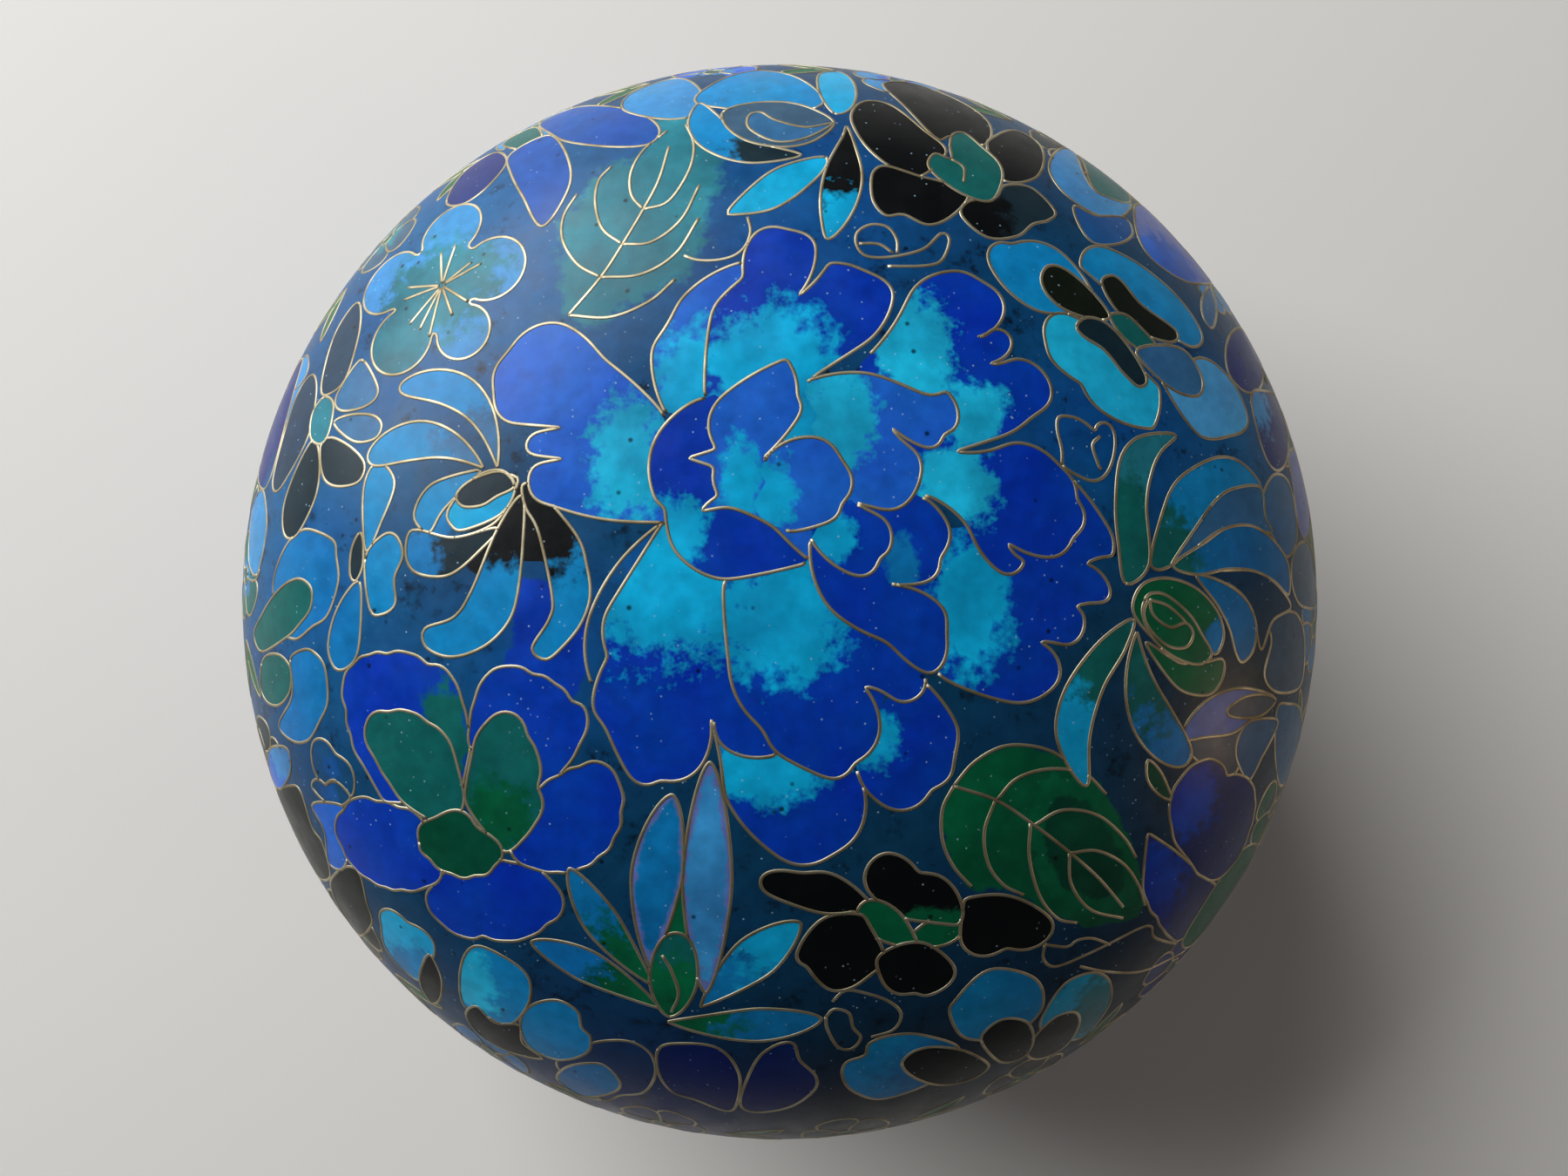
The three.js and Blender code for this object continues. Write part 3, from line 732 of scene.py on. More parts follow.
# Two leaves drawn by their veins alone, with no wire round the green.
def leaves():
    patch([(-19.6, 26.6), (-15.6, 26.2), (-9.6, 29.6), (-7, 35), (-5.8, 41), (-6.6, 47), (-8.6, 51),
           (-12, 51), (-13.4, 46), (-17.5, 42.5), (-21, 36.2), (-21.1, 32.3)], "teal", 3)
    patch([(15.7, -16.6), (20.1, -13.1), (25.5, -14), (30.6, -18), (34.7, -25.3), (36.6, -30.2),
           (34.2, -31.8), (28.8, -31.3), (21.5, -26.9), (17.4, -26.3), (14.9, -21.3)], "pine", .8)
    patch([(25.5, -18), (29, -19), (32.4, -23.5), (33.5, -28), (30.5, -28.6), (26.6, -26.6), (24.6, -22)],
          "moss", 1, "pine")
    veins = [
        [(-19.6, 26.6), (-16.7, 30.3), (-14.8, 33.7), (-13, 37.5), (-11.7, 41), (-11, 45.3)],
        [(-16.7, 30.3), (-19.1, 31.9), (-20.8, 34.7), (-21, 37.5), (-19.9, 40.1)],
        [(-14.8, 33.7), (-16.9, 35.6), (-17.9, 38.8), (-17.8, 41.6), (-16.7, 43.3)],
        [(-13, 37.5), (-14.3, 39.3), (-14.6, 42.1), (-13.6, 45.1), (-11.4, 47.7)],
        [(-19.6, 26.6), (-15.6, 26.2), (-12, 27.6), (-9.6, 29.8)],
        [(-16.7, 30.3), (-12.9, 30.4), (-9.7, 32.4), (-7.6, 36.2)],
        [(-14.8, 33.7), (-12, 33.8), (-9.3, 36.1), (-7.7, 40)],
        [(-13, 37.5), (-10.6, 38.3), (-8.8, 41.9), (-8.5, 45.4), (-9.5, 48.5)],
        [(15.7, -16.6), (19.8, -18.1), (23.5, -20.6), (27.2, -23.5), (30.6, -26.5), (33.9, -30.1)],
        [(15.7, -16.6), (17.5, -14.5), (20.1, -13.1), (22.9, -13.1), (25.5, -14), (27.8, -16)],
        [(19.8, -18), (21.6, -16.1), (24.7, -15.3), (28.2, -15.9), (30.6, -18)],
        [(23.5, -20.6), (26.2, -19.3), (29.8, -20), (32.8, -22.4), (34.6, -24.8)],
        [(27.2, -23.6), (30.1, -23.6), (33.2, -25.3), (35.4, -28), (36.6, -30.4)],
        [(15.7, -16.6), (14.7, -18.8), (14.8, -21.7), (15.9, -24.2), (17.7, -26.3)],
        [(19.6, -18.1), (18.7, -21), (19.2, -24.1), (20.8, -26.3), (22.9, -27.5)],
        [(23.1, -20.4), (23.2, -23.8), (24.5, -27.7), (26.6, -30.3), (28.8, -31.1)],
        [(27.2, -23.6), (27.7, -26.8), (30.1, -29.8), (34.1, -31.4)],
    ]
    for marks in veins:
        wire(curve(marks))


# Black and cobalt in the ground by the spiral flower.
def groundPatches():
    patch([(-27.5, 7), (-23.5, 10.7), (-19.5, 7), (-17.8, 3.5), (-23, 2.7), (-28.4, 2.8)], "ink", .5)
    patch([(-24, 2), (-20.4, 1.6), (-17.4, 1), (-17, -4), (-19, -9), (-25, -8), (-24, -2.3)], "cobalt", .8)


# A plain five-petal blossom with a dot at its heart.
def smallBlossom(x, y, size, turn, glaze, second):
    for k in range(5):
        angle = turn + k * 2 * np.pi / 5
        tip = np.array([x + size * np.cos(angle), y + size * np.sin(angle)])
        outline = petal((x, y), tip, size * .95, lean=1.5, tipRound=2.4)
        cell(outline, glaze, second, [(x, y, size * .45, size * .45)])
    around = np.arange(14) * 2 * np.pi / 14
    cell(np.stack([x + size * .2 * np.cos(around), y + size * .2 * np.sin(around)], 1), "sea")


# Blossoms evenly round the box at one distance from the pole, with a pair of leaves between each two.
def blossomRow(distance, count, size, turn, glazeList):
    for k in range(count):
        angle = turn + k * 2 * np.pi / count
        glaze, second = glazeList[k % len(glazeList)]
        smallBlossom(distance * np.cos(angle), distance * np.sin(angle), size, angle * 3, glaze, second)
        between = angle + np.pi / count
        middle = distance * np.array([np.cos(between), np.sin(between)])
        across = np.array([-np.sin(between), np.cos(between)])
        out = np.array([np.cos(between), np.sin(between)])
        gap = distance * 2 * np.pi / count - 2 * size
        for way in (-1, 1):
            tip = middle + across * gap * .3 + out * way * size * .6
            drop(middle - across * gap * .3, tip, size * .36, "pine", way * .3, lean=1, tipRound=1.5)


# Glaze and second glaze of the blossoms in a row, in turn
blueMix = [("cobalt", "turquoise"), ("turquoise", "sea"), ("royal", "sky"), ("lagoon", "pine")]
edgeMix = [("violet", "sky"), ("sky", "teal"), ("dusk", "ink"), ("sky", "royal"), ("royal", "sky"),
           ("sky", "sea"), ("slate", "teal"), ("sky", "lagoon"), ("sea", "lagoon"), ("dusk", "ink"),
           ("ink", "moss"), ("lagoon", "ink"), ("deep", "ink"), ("dusk", "ink"), ("ink", "moss"),
           ("violet", "deep"), ("pine", "dusk"), ("lagoon", "slate")]

ground = {
    "reach": 82.0,    # mm from the pole, past the rim
    "flecks": 1.34,   # the nearer to 1, the more black flecks
}


# A new pattern that starts with a round cell of ground under all others.
def startPattern():
    pattern.clear()
    reach = ground["reach"]
    whole = petal((0, -reach), (0, reach), 2 * reach, lean=1, rootRound=2, tipRound=2)
    cell(whole, "ground", "ink", [ground["flecks"]], False)


# The lid: rows of blossoms down its lower wall, with the large flowers over them.
def drawLid():
    startPattern()
    blossomRow(71, 20, 4.8, .1, blueMix)
    blossomRow(61.5, len(edgeMix), 5.2, .3, edgeMix)
    groundPatches()
    leaves()
    curls()
    for part in (upperEdge, rightEdge, lowerEdge, leftEdge, leftDrops, topFlowers, butterflyFlower,
                 starFlower, slateFlower, fanFlower, spiralFlower, cupFlower, lily, darkBlossom, peony):
        part()
    return list(pattern)


# The base: three plainer rows of blossoms.
def drawBase():
    startPattern()
    blossomRow(70.5, 20, 5.6, 0, blueMix)
    blossomRow(58, 16, 6, .2, blueMix[::-1])
    blossomRow(46.5, 14, 5.2, .1, blueMix)
    return list(pattern)


# Heights are from the bun's outline, and below it where negative
relief = {
    "enamel": -0.045,      # the glaze lies a little under the wires' tops
    "wireTop": -0.005,
    "wireFoot": -0.25,     # sunk in the glaze
    "wireWidth": 0.33,
    "wireFlat": 0.55,      # share of the width that is flat on top
    "wireShoulder": 0.04,  # drop from the top to the sides
}
fineness = {
    "turns": 240,          # points round the rim
    "grid": 1.15,          # mm between points inside the cells
    "rowGap": 0.866,       # between rows of them, as a share of that, for equal triangles
    "span": 80.0,          # mm from the pole to the grid's edge, past the rim
    "clear": 0.3,          # mm of the lid's edge that no wire enters
    "insideRows": 25,      # rows of points from the lip to the pole inside
    "poleHole": 0.4,       # mm, radius of the face that closes the lid's inside at the pole
    "floorRing": 2.0,      # mm between the last rings inside, on the bowl's floor
    "sharpAngle": 0.7,     # radians between faces that meet at an edge
}


# A colour written as sRGB hex, turned to linear light.
def linear(code):
    value = np.array([int(code[k:k + 2], 16) for k in (1, 3, 5)]) / 255
    return np.where(value <= 0.04045, value / 12.92, ((value + 0.055) / 1.055) ** 2.4)


# The parts of every wire that no later cell covers, as lists of points between two distances from the pole.
def visibleRuns(items, low, high):
    rings = [(k, item["ring"]) for k, item in enumerate(items) if "ring" in item]
    runs = []
    for k, item in enumerate(items):
        if "ring" in item and not np.any(item["wired"]):
            continue
        points = item["line"] if "line" in item else np.vstack([item["ring"], item["ring"][:1]])
        middle = (points[1:] + points[:-1]) / 2
        far = np.hypot(middle[:, 0], middle[:, 1])
        shown = (far < high) & (far > low) & item.get("wired", True)
        for later, ring in rings:
            if later > k:
                shown &= ~inside(middle[:, 0], middle[:, 1], ring)
        if "ring" in item and not shown.all() and shown.any():
            start = np.flatnonzero(~shown)[0]
            shown = np.roll(shown, -start)
            points = np.vstack([np.roll(points[:-1], -start, 0), points[start:start + 1]])
        edges = np.flatnonzero(np.diff(np.concatenate([[0], shown.astype(int), [0]])))
        for a, b in zip(edges[::2], edges[1::2]):
            if b - a > 1:
                runs.append(points[a:b + 1])
    return runs


# A mesh object in the scene, from points in metres and faces.
def addMesh(name, points, faces):
    mesh = bpy.data.meshes.new(name)
    mesh.from_pydata(np.asarray(points).tolist(), [], faces)
    mesh.update()
    mesh.shade_smooth()
    thing = bpy.data.objects.new(name, mesh)
    bpy.context.scene.collection.objects.link(thing)
    return thing


# Quads between neighbouring rows of a turned surface, row by row, each closed round.
def latheFaces(rows, turns):
    row = np.arange(rows - 1)[:, None] * turns
    a = np.arange(turns)[None]
    b = (a + 1) % turns
    return np.stack([row + a, row + b, row + turns + b, row + turns + a], -1).reshape(-1, 4)


# Points round a unit circle, one for each turn.
def unitCircle():
    angle = np.arange(fineness["turns"]) * 2 * np.pi / fineness["turns"]
    return np.stack([np.cos(angle), np.sin(angle)], 1)


# What the flat pattern is cut along: its rim, the hole low mm wide from the pole, every run of wire, and
# loose points on a grid of equal triangles between them.
def cuttingPlan(runs, low):
    turns = fineness["turns"]
    circle = unitCircle()
    points = [circle * rimReach]
    edges = [np.stack([np.arange(turns), (np.arange(turns) + 1) % turns], 1)]
    count = turns
    if low > 0:
        points.append(circle * low)
        edges.append(edges[0] + turns)
        count += turns
    for run in runs:
        points.append(run)
        edges.append(np.stack([np.arange(len(run) - 1), np.arange(1, len(run))], 1) + count)
        count += len(run)
    grid = fineness["grid"]
    span = fineness["span"]
    gx, gy = np.meshgrid(np.arange(-span, span, grid), np.arange(-span, span, grid * fineness["rowGap"]))
    gx = gx + (np.arange(gx.shape[0]) % 2)[:, None] * grid / 2
    far = np.hypot(gx, gy)
    fill = (far < rimReach - 1) & (far > low + (1 if low else 0))
    points.append(np.stack([gx[fill], gy[fill]], 1))
    return np.vstack(points), np.vstack(edges)


# The plan's points and triangles, and which of its points are the rim and the edge of the hole.
def cutPattern(runs, low):
    turns = fineness["turns"]
    flat, edges = cuttingPlan(runs, low)
    made = delaunay_2d_cdt([Vector(p) for p in flat.tolist()], edges.tolist(), [], 0, 1e-4, True)
    plane = np.array([(p.x, p.y) for p in made[0]])
    where = {first: place for place, firsts in enumerate(made[3]) for first in firsts if first < turns * 2}
    rim = np.array([where[k] for k in range(turns)])
    hole = np.array([where[k] for k in range(turns, 2 * turns)]) if low > 0 else None
    triangles = np.array([f for f in made[2] if len(f) == 3])
    kept = np.hypot(*plane[triangles].mean(1).T) > low
    return plane, triangles[kept], rim, hole


# The number of the top cell over the middle of each triangle.
def topCells(plane, triangles, items):
    middle = plane[triangles].mean(1)
    top = np.zeros(len(triangles), int)
    for k, item in enumerate(items):
        if "ring" in item:
            top[inside(middle[:, 0], middle[:, 1], item["ring"])] = k
    return top


# The glazed half: its patterned outside is cut into triangles along every wire, and a turned inside and edge
# close it. Each triangle takes the glazes of the top cell that it lies in.
def enamelShell(name, items, half, low):
    turns = fineness["turns"]
    runs = visibleRuns(items, low, rimReach - fineness["clear"])
    plane, triangles, rim, hole = cutPattern(runs, low)
    top = topCells(plane, triangles, items)
    outer = onBox(plane[:, 0], plane[:, 1], relief["enamel"], half)
    triangles = orient(plane, triangles, half)
    circle = unitCircle()
    profile = shellProfile(half)
    across = profile[:, 0, None]
    turned = np.stack([across * circle[:, 0], across * circle[:, 1],
                       np.repeat(profile[:, 1, None], turns, 1)], -1).reshape(-1, 3) * mm
    index = np.concatenate([rim, len(outer) + np.arange(len(turned))])
    quads = index[latheFaces(len(profile) + 1, turns)]
    closers = [index[-turns:]]
    if half > 0:
        closers = [closers[0][::-1]]
        quads = quads[:, ::-1]
    if low > 0:
        closers.append(hole[::-1])
    faces = triangles.tolist() + quads.tolist() + [c.tolist() for c in closers]
    thing = addMesh(name, np.vstack([outer, turned]), faces)
    thing.data.set_sharp_from_angle(angle=fineness["sharpAngle"])
    paintCells(thing, plane, triangles, top, items, len(quads) * 4 + sum(len(c) for c in closers))
    return thing, runs


# Triangles turned so that they face outwards on the lid, or downwards on the base.
def orient(plane, triangles, half):
    a, b, c = plane[triangles[:, 0]], plane[triangles[:, 1]], plane[triangles[:, 2]]
    area = (b[:, 0] - a[:, 0]) * (c[:, 1] - a[:, 1]) - (c[:, 0] - a[:, 0]) * (b[:, 1] - a[:, 1])
    wrong = area * half < 0
    return np.where(wrong[:, None], triangles[:, ::-1], triangles)


# Radius and height of the plain glazed inside, from its lip to its pole, a wall's thickness in from the
# outside. The bowl's is flat at the bottom.
def shellProfile(half):
    r, h = bunOutline(body["radius"] - body["wall"], body["rise"] - body["wall"], fineness["insideRows"])[1:]
    if half > 0:
        rows = np.stack([r[::-1], lidBottom + h[::-1]], 1)
        return np.vstack([rows[:-1], [(fineness["poleHole"], rows[-1, 1])]])
    floorTop = body["footHeight"] + body["wall"]
    rows = np.stack([r[::-1], bowlTop - h[::-1]], 1)
    rows = rows[rows[:, 1] > floorTop + .3]
    edge = rows[-1, 0] - fineness["floorRing"]
    return np.vstack([rows, [(edge, floorTop), (edge - fineness["floorRing"], floorTop)]])


# The ground changes slowly over the box, and part of that is painted light. The sky-blue tints at the upper
# left and left are a painted sheen where the window lights the lid. The ink and deep tints at the bottom and
# lower right are painted shade. The other tints are the ground's own colour. Each tint is x, y, how far it
# reaches and its glaze, and its share falls off as the bell curve exp(-(distance / reach)^2).
groundTintsWithPaintedLight = [(-30, 34, 24, "groundSky"), (-46, 4, 18, "groundSky"), (2, 37, 13, "groundBlue"),
               (-22, -4, 9, "groundBlue"), (-28, 8, 8, "ground"), (30, 16, 11, "groundBlue"),
               (46, 16, 9, "groundSky"), (12, -60, 22, "ink"), (46, -46, 18, "ink"), (-16, -58, 14, "deep"),
               (44, -12, 12, "dusk")]


# The ground's glaze at each place, with the tints above laid over it, painted sheen and painted shade among
# them.
def groundColour(places):
    colour = np.broadcast_to(linear(glazes["ground"]), (*places.shape[:-1], 3)).copy()
    for x, y, reach, glaze in groundTintsWithPaintedLight:
        share = np.exp(-((places[..., 0] - x) ** 2 + (places[..., 1] - y) ** 2) / reach**2)[..., None]
        colour = colour * (1 - share) + linear(glazes[glaze]) * share
    return colour


# How far points lie from a wash, 1 at its edge. A wash is an ellipse, a ring with the width of the border
# that it leaves inside itself, or one number for everywhere, which leaves only scattered flecks.
def washDistance(places, wash):
    x, y = places[..., 0], places[..., 1]
    if np.isscalar(wash):
        return np.full(x.shape, float(wash))
    if not isinstance(wash, dict):
        return np.hypot((x - wash[0]) / wash[2], (y - wash[1]) / wash[3])
    ring = wash["ring"]
    flat = places.reshape(-1, 2)
    away = np.sqrt(((flat[:, None] - ring[None]) ** 2).sum(2).min(1))
    depth = np.where(inside(flat[:, 0], flat[:, 1], ring), away, -away).reshape(x.shape)
    return 1 + (wash["border"] - depth) / wash["soft"]


unwashed = 5.0  # a distance that is far from any wash


# Glaze, second glaze and distance from the nearest wash go to every corner of the patterned triangles.
# The corners of the other faces, rest in all, are plain.
def paintCells(thing, plane, triangles, top, items, rest):
    mesh = thing.data
    ringItems = {k: item for k, item in enumerate(items) if "ring" in item}
    first = np.zeros((len(triangles), 3, 3))
    second = np.zeros((len(triangles), 3, 3))
    reach = np.full((len(triangles), 3), unwashed)
    corner = plane[triangles]
    for k, item in ringItems.items():
        mine = top == k
        if not mine.any():
            continue
        for values, glaze in ((first, item["glaze"]), (second, item["second"])):
            values[mine] = groundColour(corner[mine]) if glaze == "ground" else linear(glazes[glaze])
        for wash in item["washes"]:
            reach[mine] = np.minimum(reach[mine], washDistance(corner[mine], wash))
    inner = linear(glazes["lagoon"])
    for label, values in (("glaze", first), ("second", second)):
        layer = mesh.attributes.new(label, "FLOAT_COLOR", "CORNER")
        full = np.ones((len(triangles) * 3 + rest, 4))
        full[:len(triangles) * 3, :3] = values.reshape(-1, 3)
        full[len(triangles) * 3:, :3] = inner
        layer.data.foreach_set("color", full.ravel())
    layer = mesh.attributes.new("washReach", "FLOAT", "CORNER")
    layer.data.foreach_set("value", np.concatenate([reach.ravel(), np.full(rest, unwashed)]))


# Flat wire on edge, showing its rounded top: a profile of width and height carried along every run.
def cloisonWires(name, runs, half):
    wide = relief["wireWidth"] / 2
    flat = wide * relief["wireFlat"]
    top = relief["wireTop"]
    foot = relief["wireFoot"]
    shoulder = top - relief["wireShoulder"]
    section = np.array([(-wide, foot), (-wide, shoulder), (-flat, top),
                        (flat, top), (wide, shoulder), (wide, foot)])
    turns = len(section)
    points, faces, count = [], [], 0
    for run in runs:
        heading = np.gradient(run, axis=0)
        heading /= np.maximum(np.hypot(*heading.T), 1e-9)[:, None]
        aside = np.stack([-heading[:, 1], heading[:, 0]], 1)
        spread = run[:, None] + aside[:, None] * section[None, :, :1]
        lift = np.repeat(section[None, :, 1], len(run), 0)
        solid = onBox(spread[..., 0], spread[..., 1], lift, half).reshape(-1, 3)
        quads = latheFaces(len(run), turns) + count
        if half > 0:
            quads = quads[:, ::-1]
        after = count + len(solid)
        ends = [list(range(count, count + turns)), list(range(after - turns, after))]
        ends[1 if half > 0 else 0].reverse()
        points.append(solid)
        faces += quads.tolist() + ends
        count = after
    return addMesh(name, np.vstack(points), faces)


# A node with its settings, and its inputs linked from other sockets.
def node(tree, kind, settings=None, links=None):
    made = tree.nodes.new(kind)
    for key, value in (settings or {}).items():
        if isinstance(key, str) and hasattr(made, key):
            setattr(made, key, value)
        else:
            made.inputs[key].default_value = value
    for key, source in (links or {}).items():
        tree.links.new(source, made.inputs[key])
    return made


# A material that has only its surface shader.
def newMaterial(name):
    material = bpy.data.materials.new(name)
    material.use_nodes = True
    tree = material.node_tree
    tree.nodes.clear()
    surface = node(tree, "ShaderNodeBsdfPrincipled")
    node(tree, "ShaderNodeOutputMaterial", links={"Surface": surface.outputs["BSDF"]})
    return material, tree, surface


# Texture scale for features of this size in mm, on Object coordinates in metres.
def perMetre(size):
    return 1 / (size * mm)


enamelLook = {
    "roughness": (0.3, 0.42),    # polished by hand, with duller patches
    "specular": 0.16,            # a dull, worn polish
    "cloud": 3.2,                # mm, uneven depth of colour
    "fleck": 1.1,                # mm, flecks along the line where two glazes meet
    "grain": 0.36,               # mm, grains of ground glass there
    "scatter": (0.03, 0.15),     # how far those grains spread, as a share of the wash's reach
    "depth": 1.4,                # mm, streaks in the glass
    "drift": 9.0,                # mm, slow change between greener and bluer
    "crowd": 6.0,                # mm between the places where bubbles crowd
    "bubble": 1.0,               # mm between pale bubbles opened by the polishing
    "pit": 2.6,                  # mm between dark pits
    "wander": {"cloud": 0.24, "fleck": 0.26},   # how far those flecks move the line, as for scatter
    "blend": (0.8, 1.2),         # where the second glaze ends, as distances from its wash
    "bubbleColour": "#9dbcd2",
    "bubbleShare": 0.65,         # how far a bubble covers the glaze
    "pitColour": "#020a10",
    "pitShare": 0.85,
    "pitAbove": 0.52,            # only cells with a random value above this have a pit
    "dot": (0.05, 0.12),         # a bubble or pit is full within the first share of its spacing
    "bump": (0.3, 0.06),         # strength of the streaks' relief, and its depth in mm
    "ior": 1.52,                 # as for lead glass
}


# Vitreous enamel, ground glass fired on copper: clouded depth, grains where two glazes meet, pale bubbles,
# dark pits and a satin polish.
def enamelMaterial():
    material, tree, surface = newMaterial("vitreousEnamel")
    place = node(tree, "ShaderNodeTexCoord").outputs["Object"]
    glaze, second, reach = [node(tree, "ShaderNodeAttribute", {"attribute_name": name})
                            for name in ("glaze", "second", "washReach")]
    noises = {}
    for name, detail in (("cloud", 4.0), ("fleck", 3.0), ("grain", 2.0), ("depth", 7.0), ("drift", 2.0),
                         ("crowd", 1.0)):
        settings = {"Scale": perMetre(enamelLook[name]), "Detail": detail}
        noises[name] = node(tree, "ShaderNodeTexNoise", settings, {"Vector": place}).outputs["Fac"]
    for name in ("bubble", "pit"):
        settings = {"Scale": perMetre(enamelLook[name])}
        noises[name] = node(tree, "ShaderNodeTexVoronoi", settings, {"Vector": place})
    cloudWander = enamelLook["wander"]["cloud"]
    fleckWander = enamelLook["wander"]["fleck"]
    full, gone = enamelLook["dot"]
    even = {}   # each pattern brought to the range that it is used in
    for name, source, start, end, low, high in (
            ("grainWander", noises["grain"], .3, .7, -1, 1),
            ("cloudWander", noises["cloud"], .3, .7, -cloudWander, cloudWander),
            ("fleckWander", noises["fleck"], .3, .7, -fleckWander, fleckWander),
            ("scatter", noises["drift"], .35, .65, *enamelLook["scatter"]),
            ("heart", noises["drift"], .35, .65, 1.22, .72),    # a second glaze is laid thick or thin
            ("streak", noises["depth"], .3, .7, .87, 1.14),
            ("cloud", noises["cloud"], .3, .7, .9, 1.11),
            ("hue", noises["drift"], .3, .7, .495, .505),
            ("crowd", noises["crowd"], .42, .56, 0, 1),
            ("bubble", noises["bubble"].outputs["Distance"], full, gone, enamelLook["bubbleShare"], 0),
            ("pit", noises["pit"].outputs["Distance"], full, gone, enamelLook["pitShare"], 0),
            ("rough", noises["cloud"], .3, .7, *enamelLook["roughness"])):
        settings = {"From Min": start, "From Max": end, "To Min": low, "To Max": high}
        even[name] = node(tree, "ShaderNodeMapRange", settings, {"Value": source}).outputs[0]
    grains = node(tree, "ShaderNodeMath", {"operation": "MULTIPLY"},
                  {0: even["grainWander"], 1: even["scatter"]})
    wander = node(tree, "ShaderNodeMath", {"operation": "ADD"},
                  {0: grains.outputs[0], 1: even["cloudWander"]})
    flecked = node(tree, "ShaderNodeMath", {"operation": "ADD"},
                   {0: even["fleckWander"], 1: wander.outputs[0]})
    border = node(tree, "ShaderNodeMath", {"operation": "ADD"},
                  {0: reach.outputs["Fac"], 1: flecked.outputs[0]})
    near, far = enamelLook["blend"]
    mask = node(tree, "ShaderNodeMapRange", {"From Min": near, "From Max": far, "To Min": 1.0, "To Max": 0.0},
                {"Value": border.outputs[0]})
    heart = node(tree, "ShaderNodeVectorMath", {"operation": "SCALE"},
                 {0: second.outputs["Color"], "Scale": even["heart"]})
    mixed = node(tree, "ShaderNodeMix", {"data_type": "RGBA"},
                 {"Factor": mask.outputs[0], 6: glaze.outputs["Color"], 7: heart.outputs[0]})
    shade = node(tree, "ShaderNodeMath", {"operation": "MULTIPLY"}, {0: even["streak"], 1: even["cloud"]})
    clouded = node(tree, "ShaderNodeVectorMath", {"operation": "SCALE"},
                   {0: mixed.outputs[2], "Scale": shade.outputs[0]})
    hued = node(tree, "ShaderNodeHueSaturation", {}, {"Color": clouded.outputs[0], "Hue": even["hue"]})
    crowded = node(tree, "ShaderNodeMath", {"operation": "MULTIPLY"}, {0: even["bubble"], 1: even["crowd"]})
    pale = node(tree, "ShaderNodeMix", {"data_type": "RGBA", 7: (*linear(enamelLook["bubbleColour"]), 1)},
                {"Factor": crowded.outputs[0], 6: hued.outputs[0]})
    chosen = node(tree, "ShaderNodeMath", {"operation": "GREATER_THAN", 1: enamelLook["pitAbove"]},
                  {0: noises["pit"].outputs["Color"]})
    pitted = node(tree, "ShaderNodeMath", {"operation": "MULTIPLY"}, {0: even["pit"], 1: chosen.outputs[0]})
    dark = node(tree, "ShaderNodeMix", {"data_type": "RGBA", 7: (*linear(enamelLook["pitColour"]), 1)},
                {"Factor": pitted.outputs[0], 6: pale.outputs[2]})
    strength, depth = enamelLook["bump"]
    bump = node(tree, "ShaderNodeBump", {"Strength": strength, "Distance": depth * mm},
                {"Height": noises["depth"]})
    tree.links.new(dark.outputs[2], surface.inputs["Base Color"])
    tree.links.new(even["rough"], surface.inputs["Roughness"])
    tree.links.new(bump.outputs[0], surface.inputs["Normal"])
    surface.inputs["IOR"].default_value = enamelLook["ior"]
    surface.inputs["Specular IOR Level"].default_value = enamelLook["specular"]
    return material


brassLook = {
    "wire": ("#bbb196", "#8a7e62"),   # bright and worn tone of the wires
    "rim": ("#c49a54", "#a07a3e"),    # and of the rims
    "roughness": (0.48, 0.64),
    "wear": 4.0,                      # mm, size of the worn places
}


# Gilt brass: rubbed bright, browner where the gilding has worn.
def brassMaterial(name, tones):
    material, tree, surface = newMaterial(name)
    place = node(tree, "ShaderNodeTexCoord").outputs["Object"]
    wear = node(tree, "ShaderNodeTexNoise", {"Scale": perMetre(brassLook["wear"]), "Detail": 6.0},
                {"Vector": place})
    share = node(tree, "ShaderNodeMapRange", {"From Min": .35, "From Max": .65},
                 {"Value": wear.outputs["Fac"]})
    bright, worn = [(*linear(code), 1) for code in tones]
    tone = node(tree, "ShaderNodeMix", {"data_type": "RGBA", 6: bright, 7: worn},
                {"Factor": share.outputs[0]})
    smooth, dull = brassLook["roughness"]
    settings = {"From Min": .3, "From Max": .7, "To Min": smooth, "To Max": dull}
    rough = node(tree, "ShaderNodeMapRange", settings, {"Value": wear.outputs["Fac"]})
    tree.links.new(tone.outputs[2], surface.inputs["Base Color"])
    tree.links.new(rough.outputs[0], surface.inputs["Roughness"])
    surface.inputs["Metallic"].default_value = 1.0
    return material


enamel = enamelMaterial()
wireBrass = brassMaterial("giltWire", brassLook["wire"])
rimBrass = brassMaterial("giltBrass", brassLook["rim"])

lidEnamel, lidRuns = enamelShell("lidEnamel", drawLid(), 1, 0.0)
print("lid enamel:", len(lidEnamel.data.polygons), "faces")
lidWires = cloisonWires("lidWires", lidRuns, 1)
print("lid wires:", len(lidWires.data.polygons), "faces")
baseEnamel, baseRuns = enamelShell("baseEnamel", drawBase(), -1, floorReach)
baseWires = cloisonWires("baseWires", baseRuns, -1)
print("base:", len(baseEnamel.data.polygons), "and", len(baseWires.data.polygons), "faces")

for piece, material, slot in ((lidEnamel, enamel, "cloisonne_enamel"), (lidWires, wireBrass, "gilt_brass"),
                              (baseEnamel, enamel, "cloisonne_enamel"), (baseWires, wireBrass, "gilt_brass")):
    piece.data.materials.append(material)
    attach(piece, "root")
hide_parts("lid_dome")
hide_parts("base_bowl")
for name in ("lid_rim", "base_rim", "foot_ring"):
    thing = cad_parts[name]
    thing.data.materials.clear()
    thing.data.materials.append(rimBrass)

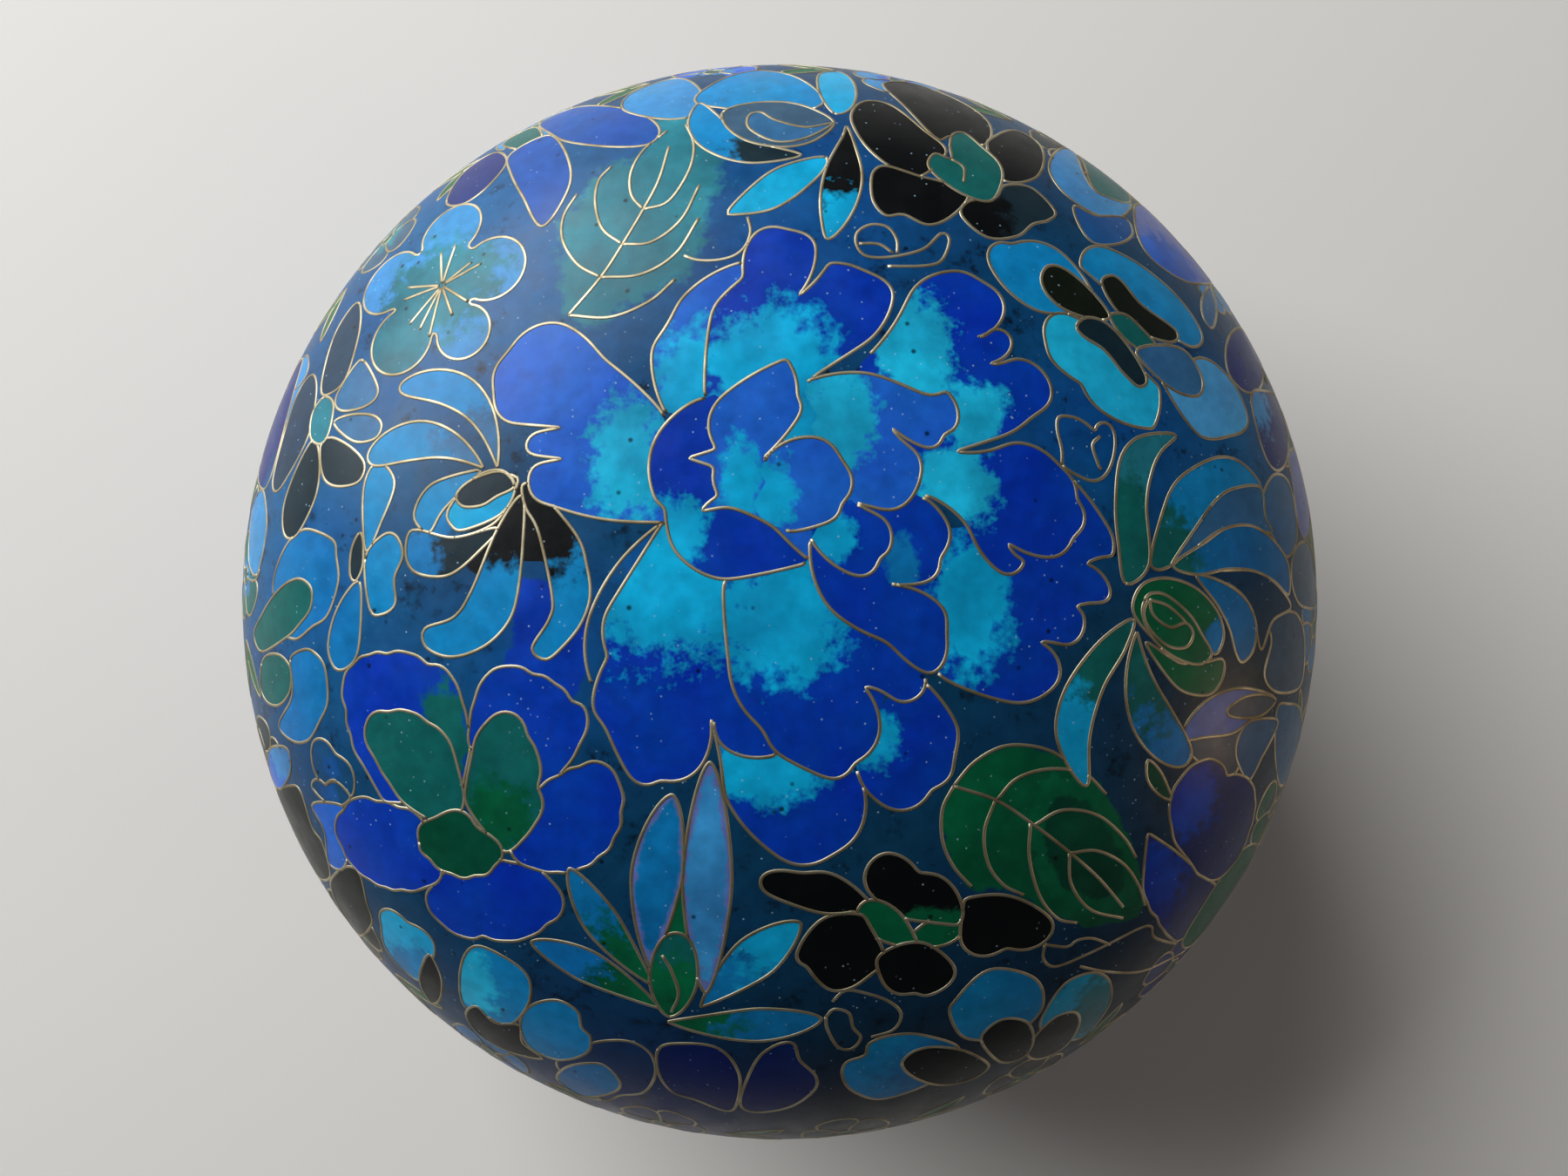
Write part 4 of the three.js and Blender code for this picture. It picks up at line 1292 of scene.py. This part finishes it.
# Floor, light and camera
stage = {
    "half": 2.0,             # metres from the floor's middle to its edge
    "floor": "#e4e0da",
    "floorRoughness": 0.8,
    "sky": (0.85, 0.9, 1, 1),
    "skyStrength": 0.08,
}
edge = stage["half"]
corners = [(-edge, -edge, 0), (edge, -edge, 0), (edge, edge, 0), (-edge, edge, 0)]
floorMesh = addMesh("floor", corners, [[0, 1, 2, 3]])
floorMaterial, floorTree, floorSurface = newMaterial("paleFloor")
floorSurface.inputs["Base Color"].default_value = (*linear(stage["floor"]), 1)
floorSurface.inputs["Roughness"].default_value = stage["floorRoughness"]
floorMesh.data.materials.append(floorMaterial)

# Places and sizes in metres. The window is high on the left behind the box, the lamp low on the right.
lights = {
    "window": {"place": (-.64, .62, .51), "size": (.95, .72), "watts": 18.0, "colour": (.96, .98, 1)},
    "lamp": {"place": (.95, -.25, .26), "size": (.2, .2), "watts": .95, "colour": (1, .72, .48)},
}
for name, look in lights.items():
    data = bpy.data.lights.new(name, "AREA")
    data.shape = "RECTANGLE"
    data.size, data.size_y = look["size"]
    data.energy = look["watts"]
    data.color = look["colour"]
    lamp = bpy.data.objects.new(name, data)
    lamp.location = look["place"]
    lamp.rotation_euler = Vector(look["place"]).to_track_quat("Z", "Y").to_euler()
    bpy.context.scene.collection.objects.link(lamp)
world = bpy.data.worlds.new("studio")
world.use_nodes = True
sky = world.node_tree.nodes["Background"]
sky.inputs["Color"].default_value = stage["sky"]
sky.inputs["Strength"].default_value = stage["skyStrength"]
bpy.context.scene.world = world

# Straight down over the lid. The shifts are the lid's distance from the middle of the picture.
view = {"lens": 27.0, "sensor": 36.0, "height": lidBottom + 137.9, "shiftX": 5 / 1800, "shiftY": 16 / 1800}
cameraData = bpy.data.cameras.new("camera")
cameraData.lens = view["lens"]
cameraData.sensor_width = view["sensor"]
cameraData.shift_x = view["shiftX"]
cameraData.shift_y = view["shiftY"]
cameraData.clip_start = .01
camera = bpy.data.objects.new("camera", cameraData)
camera.location = (0, 0, view["height"] * mm)
bpy.context.scene.collection.objects.link(camera)
bpy.context.scene.camera = camera
bpy.context.scene.view_settings.view_transform = "Standard"
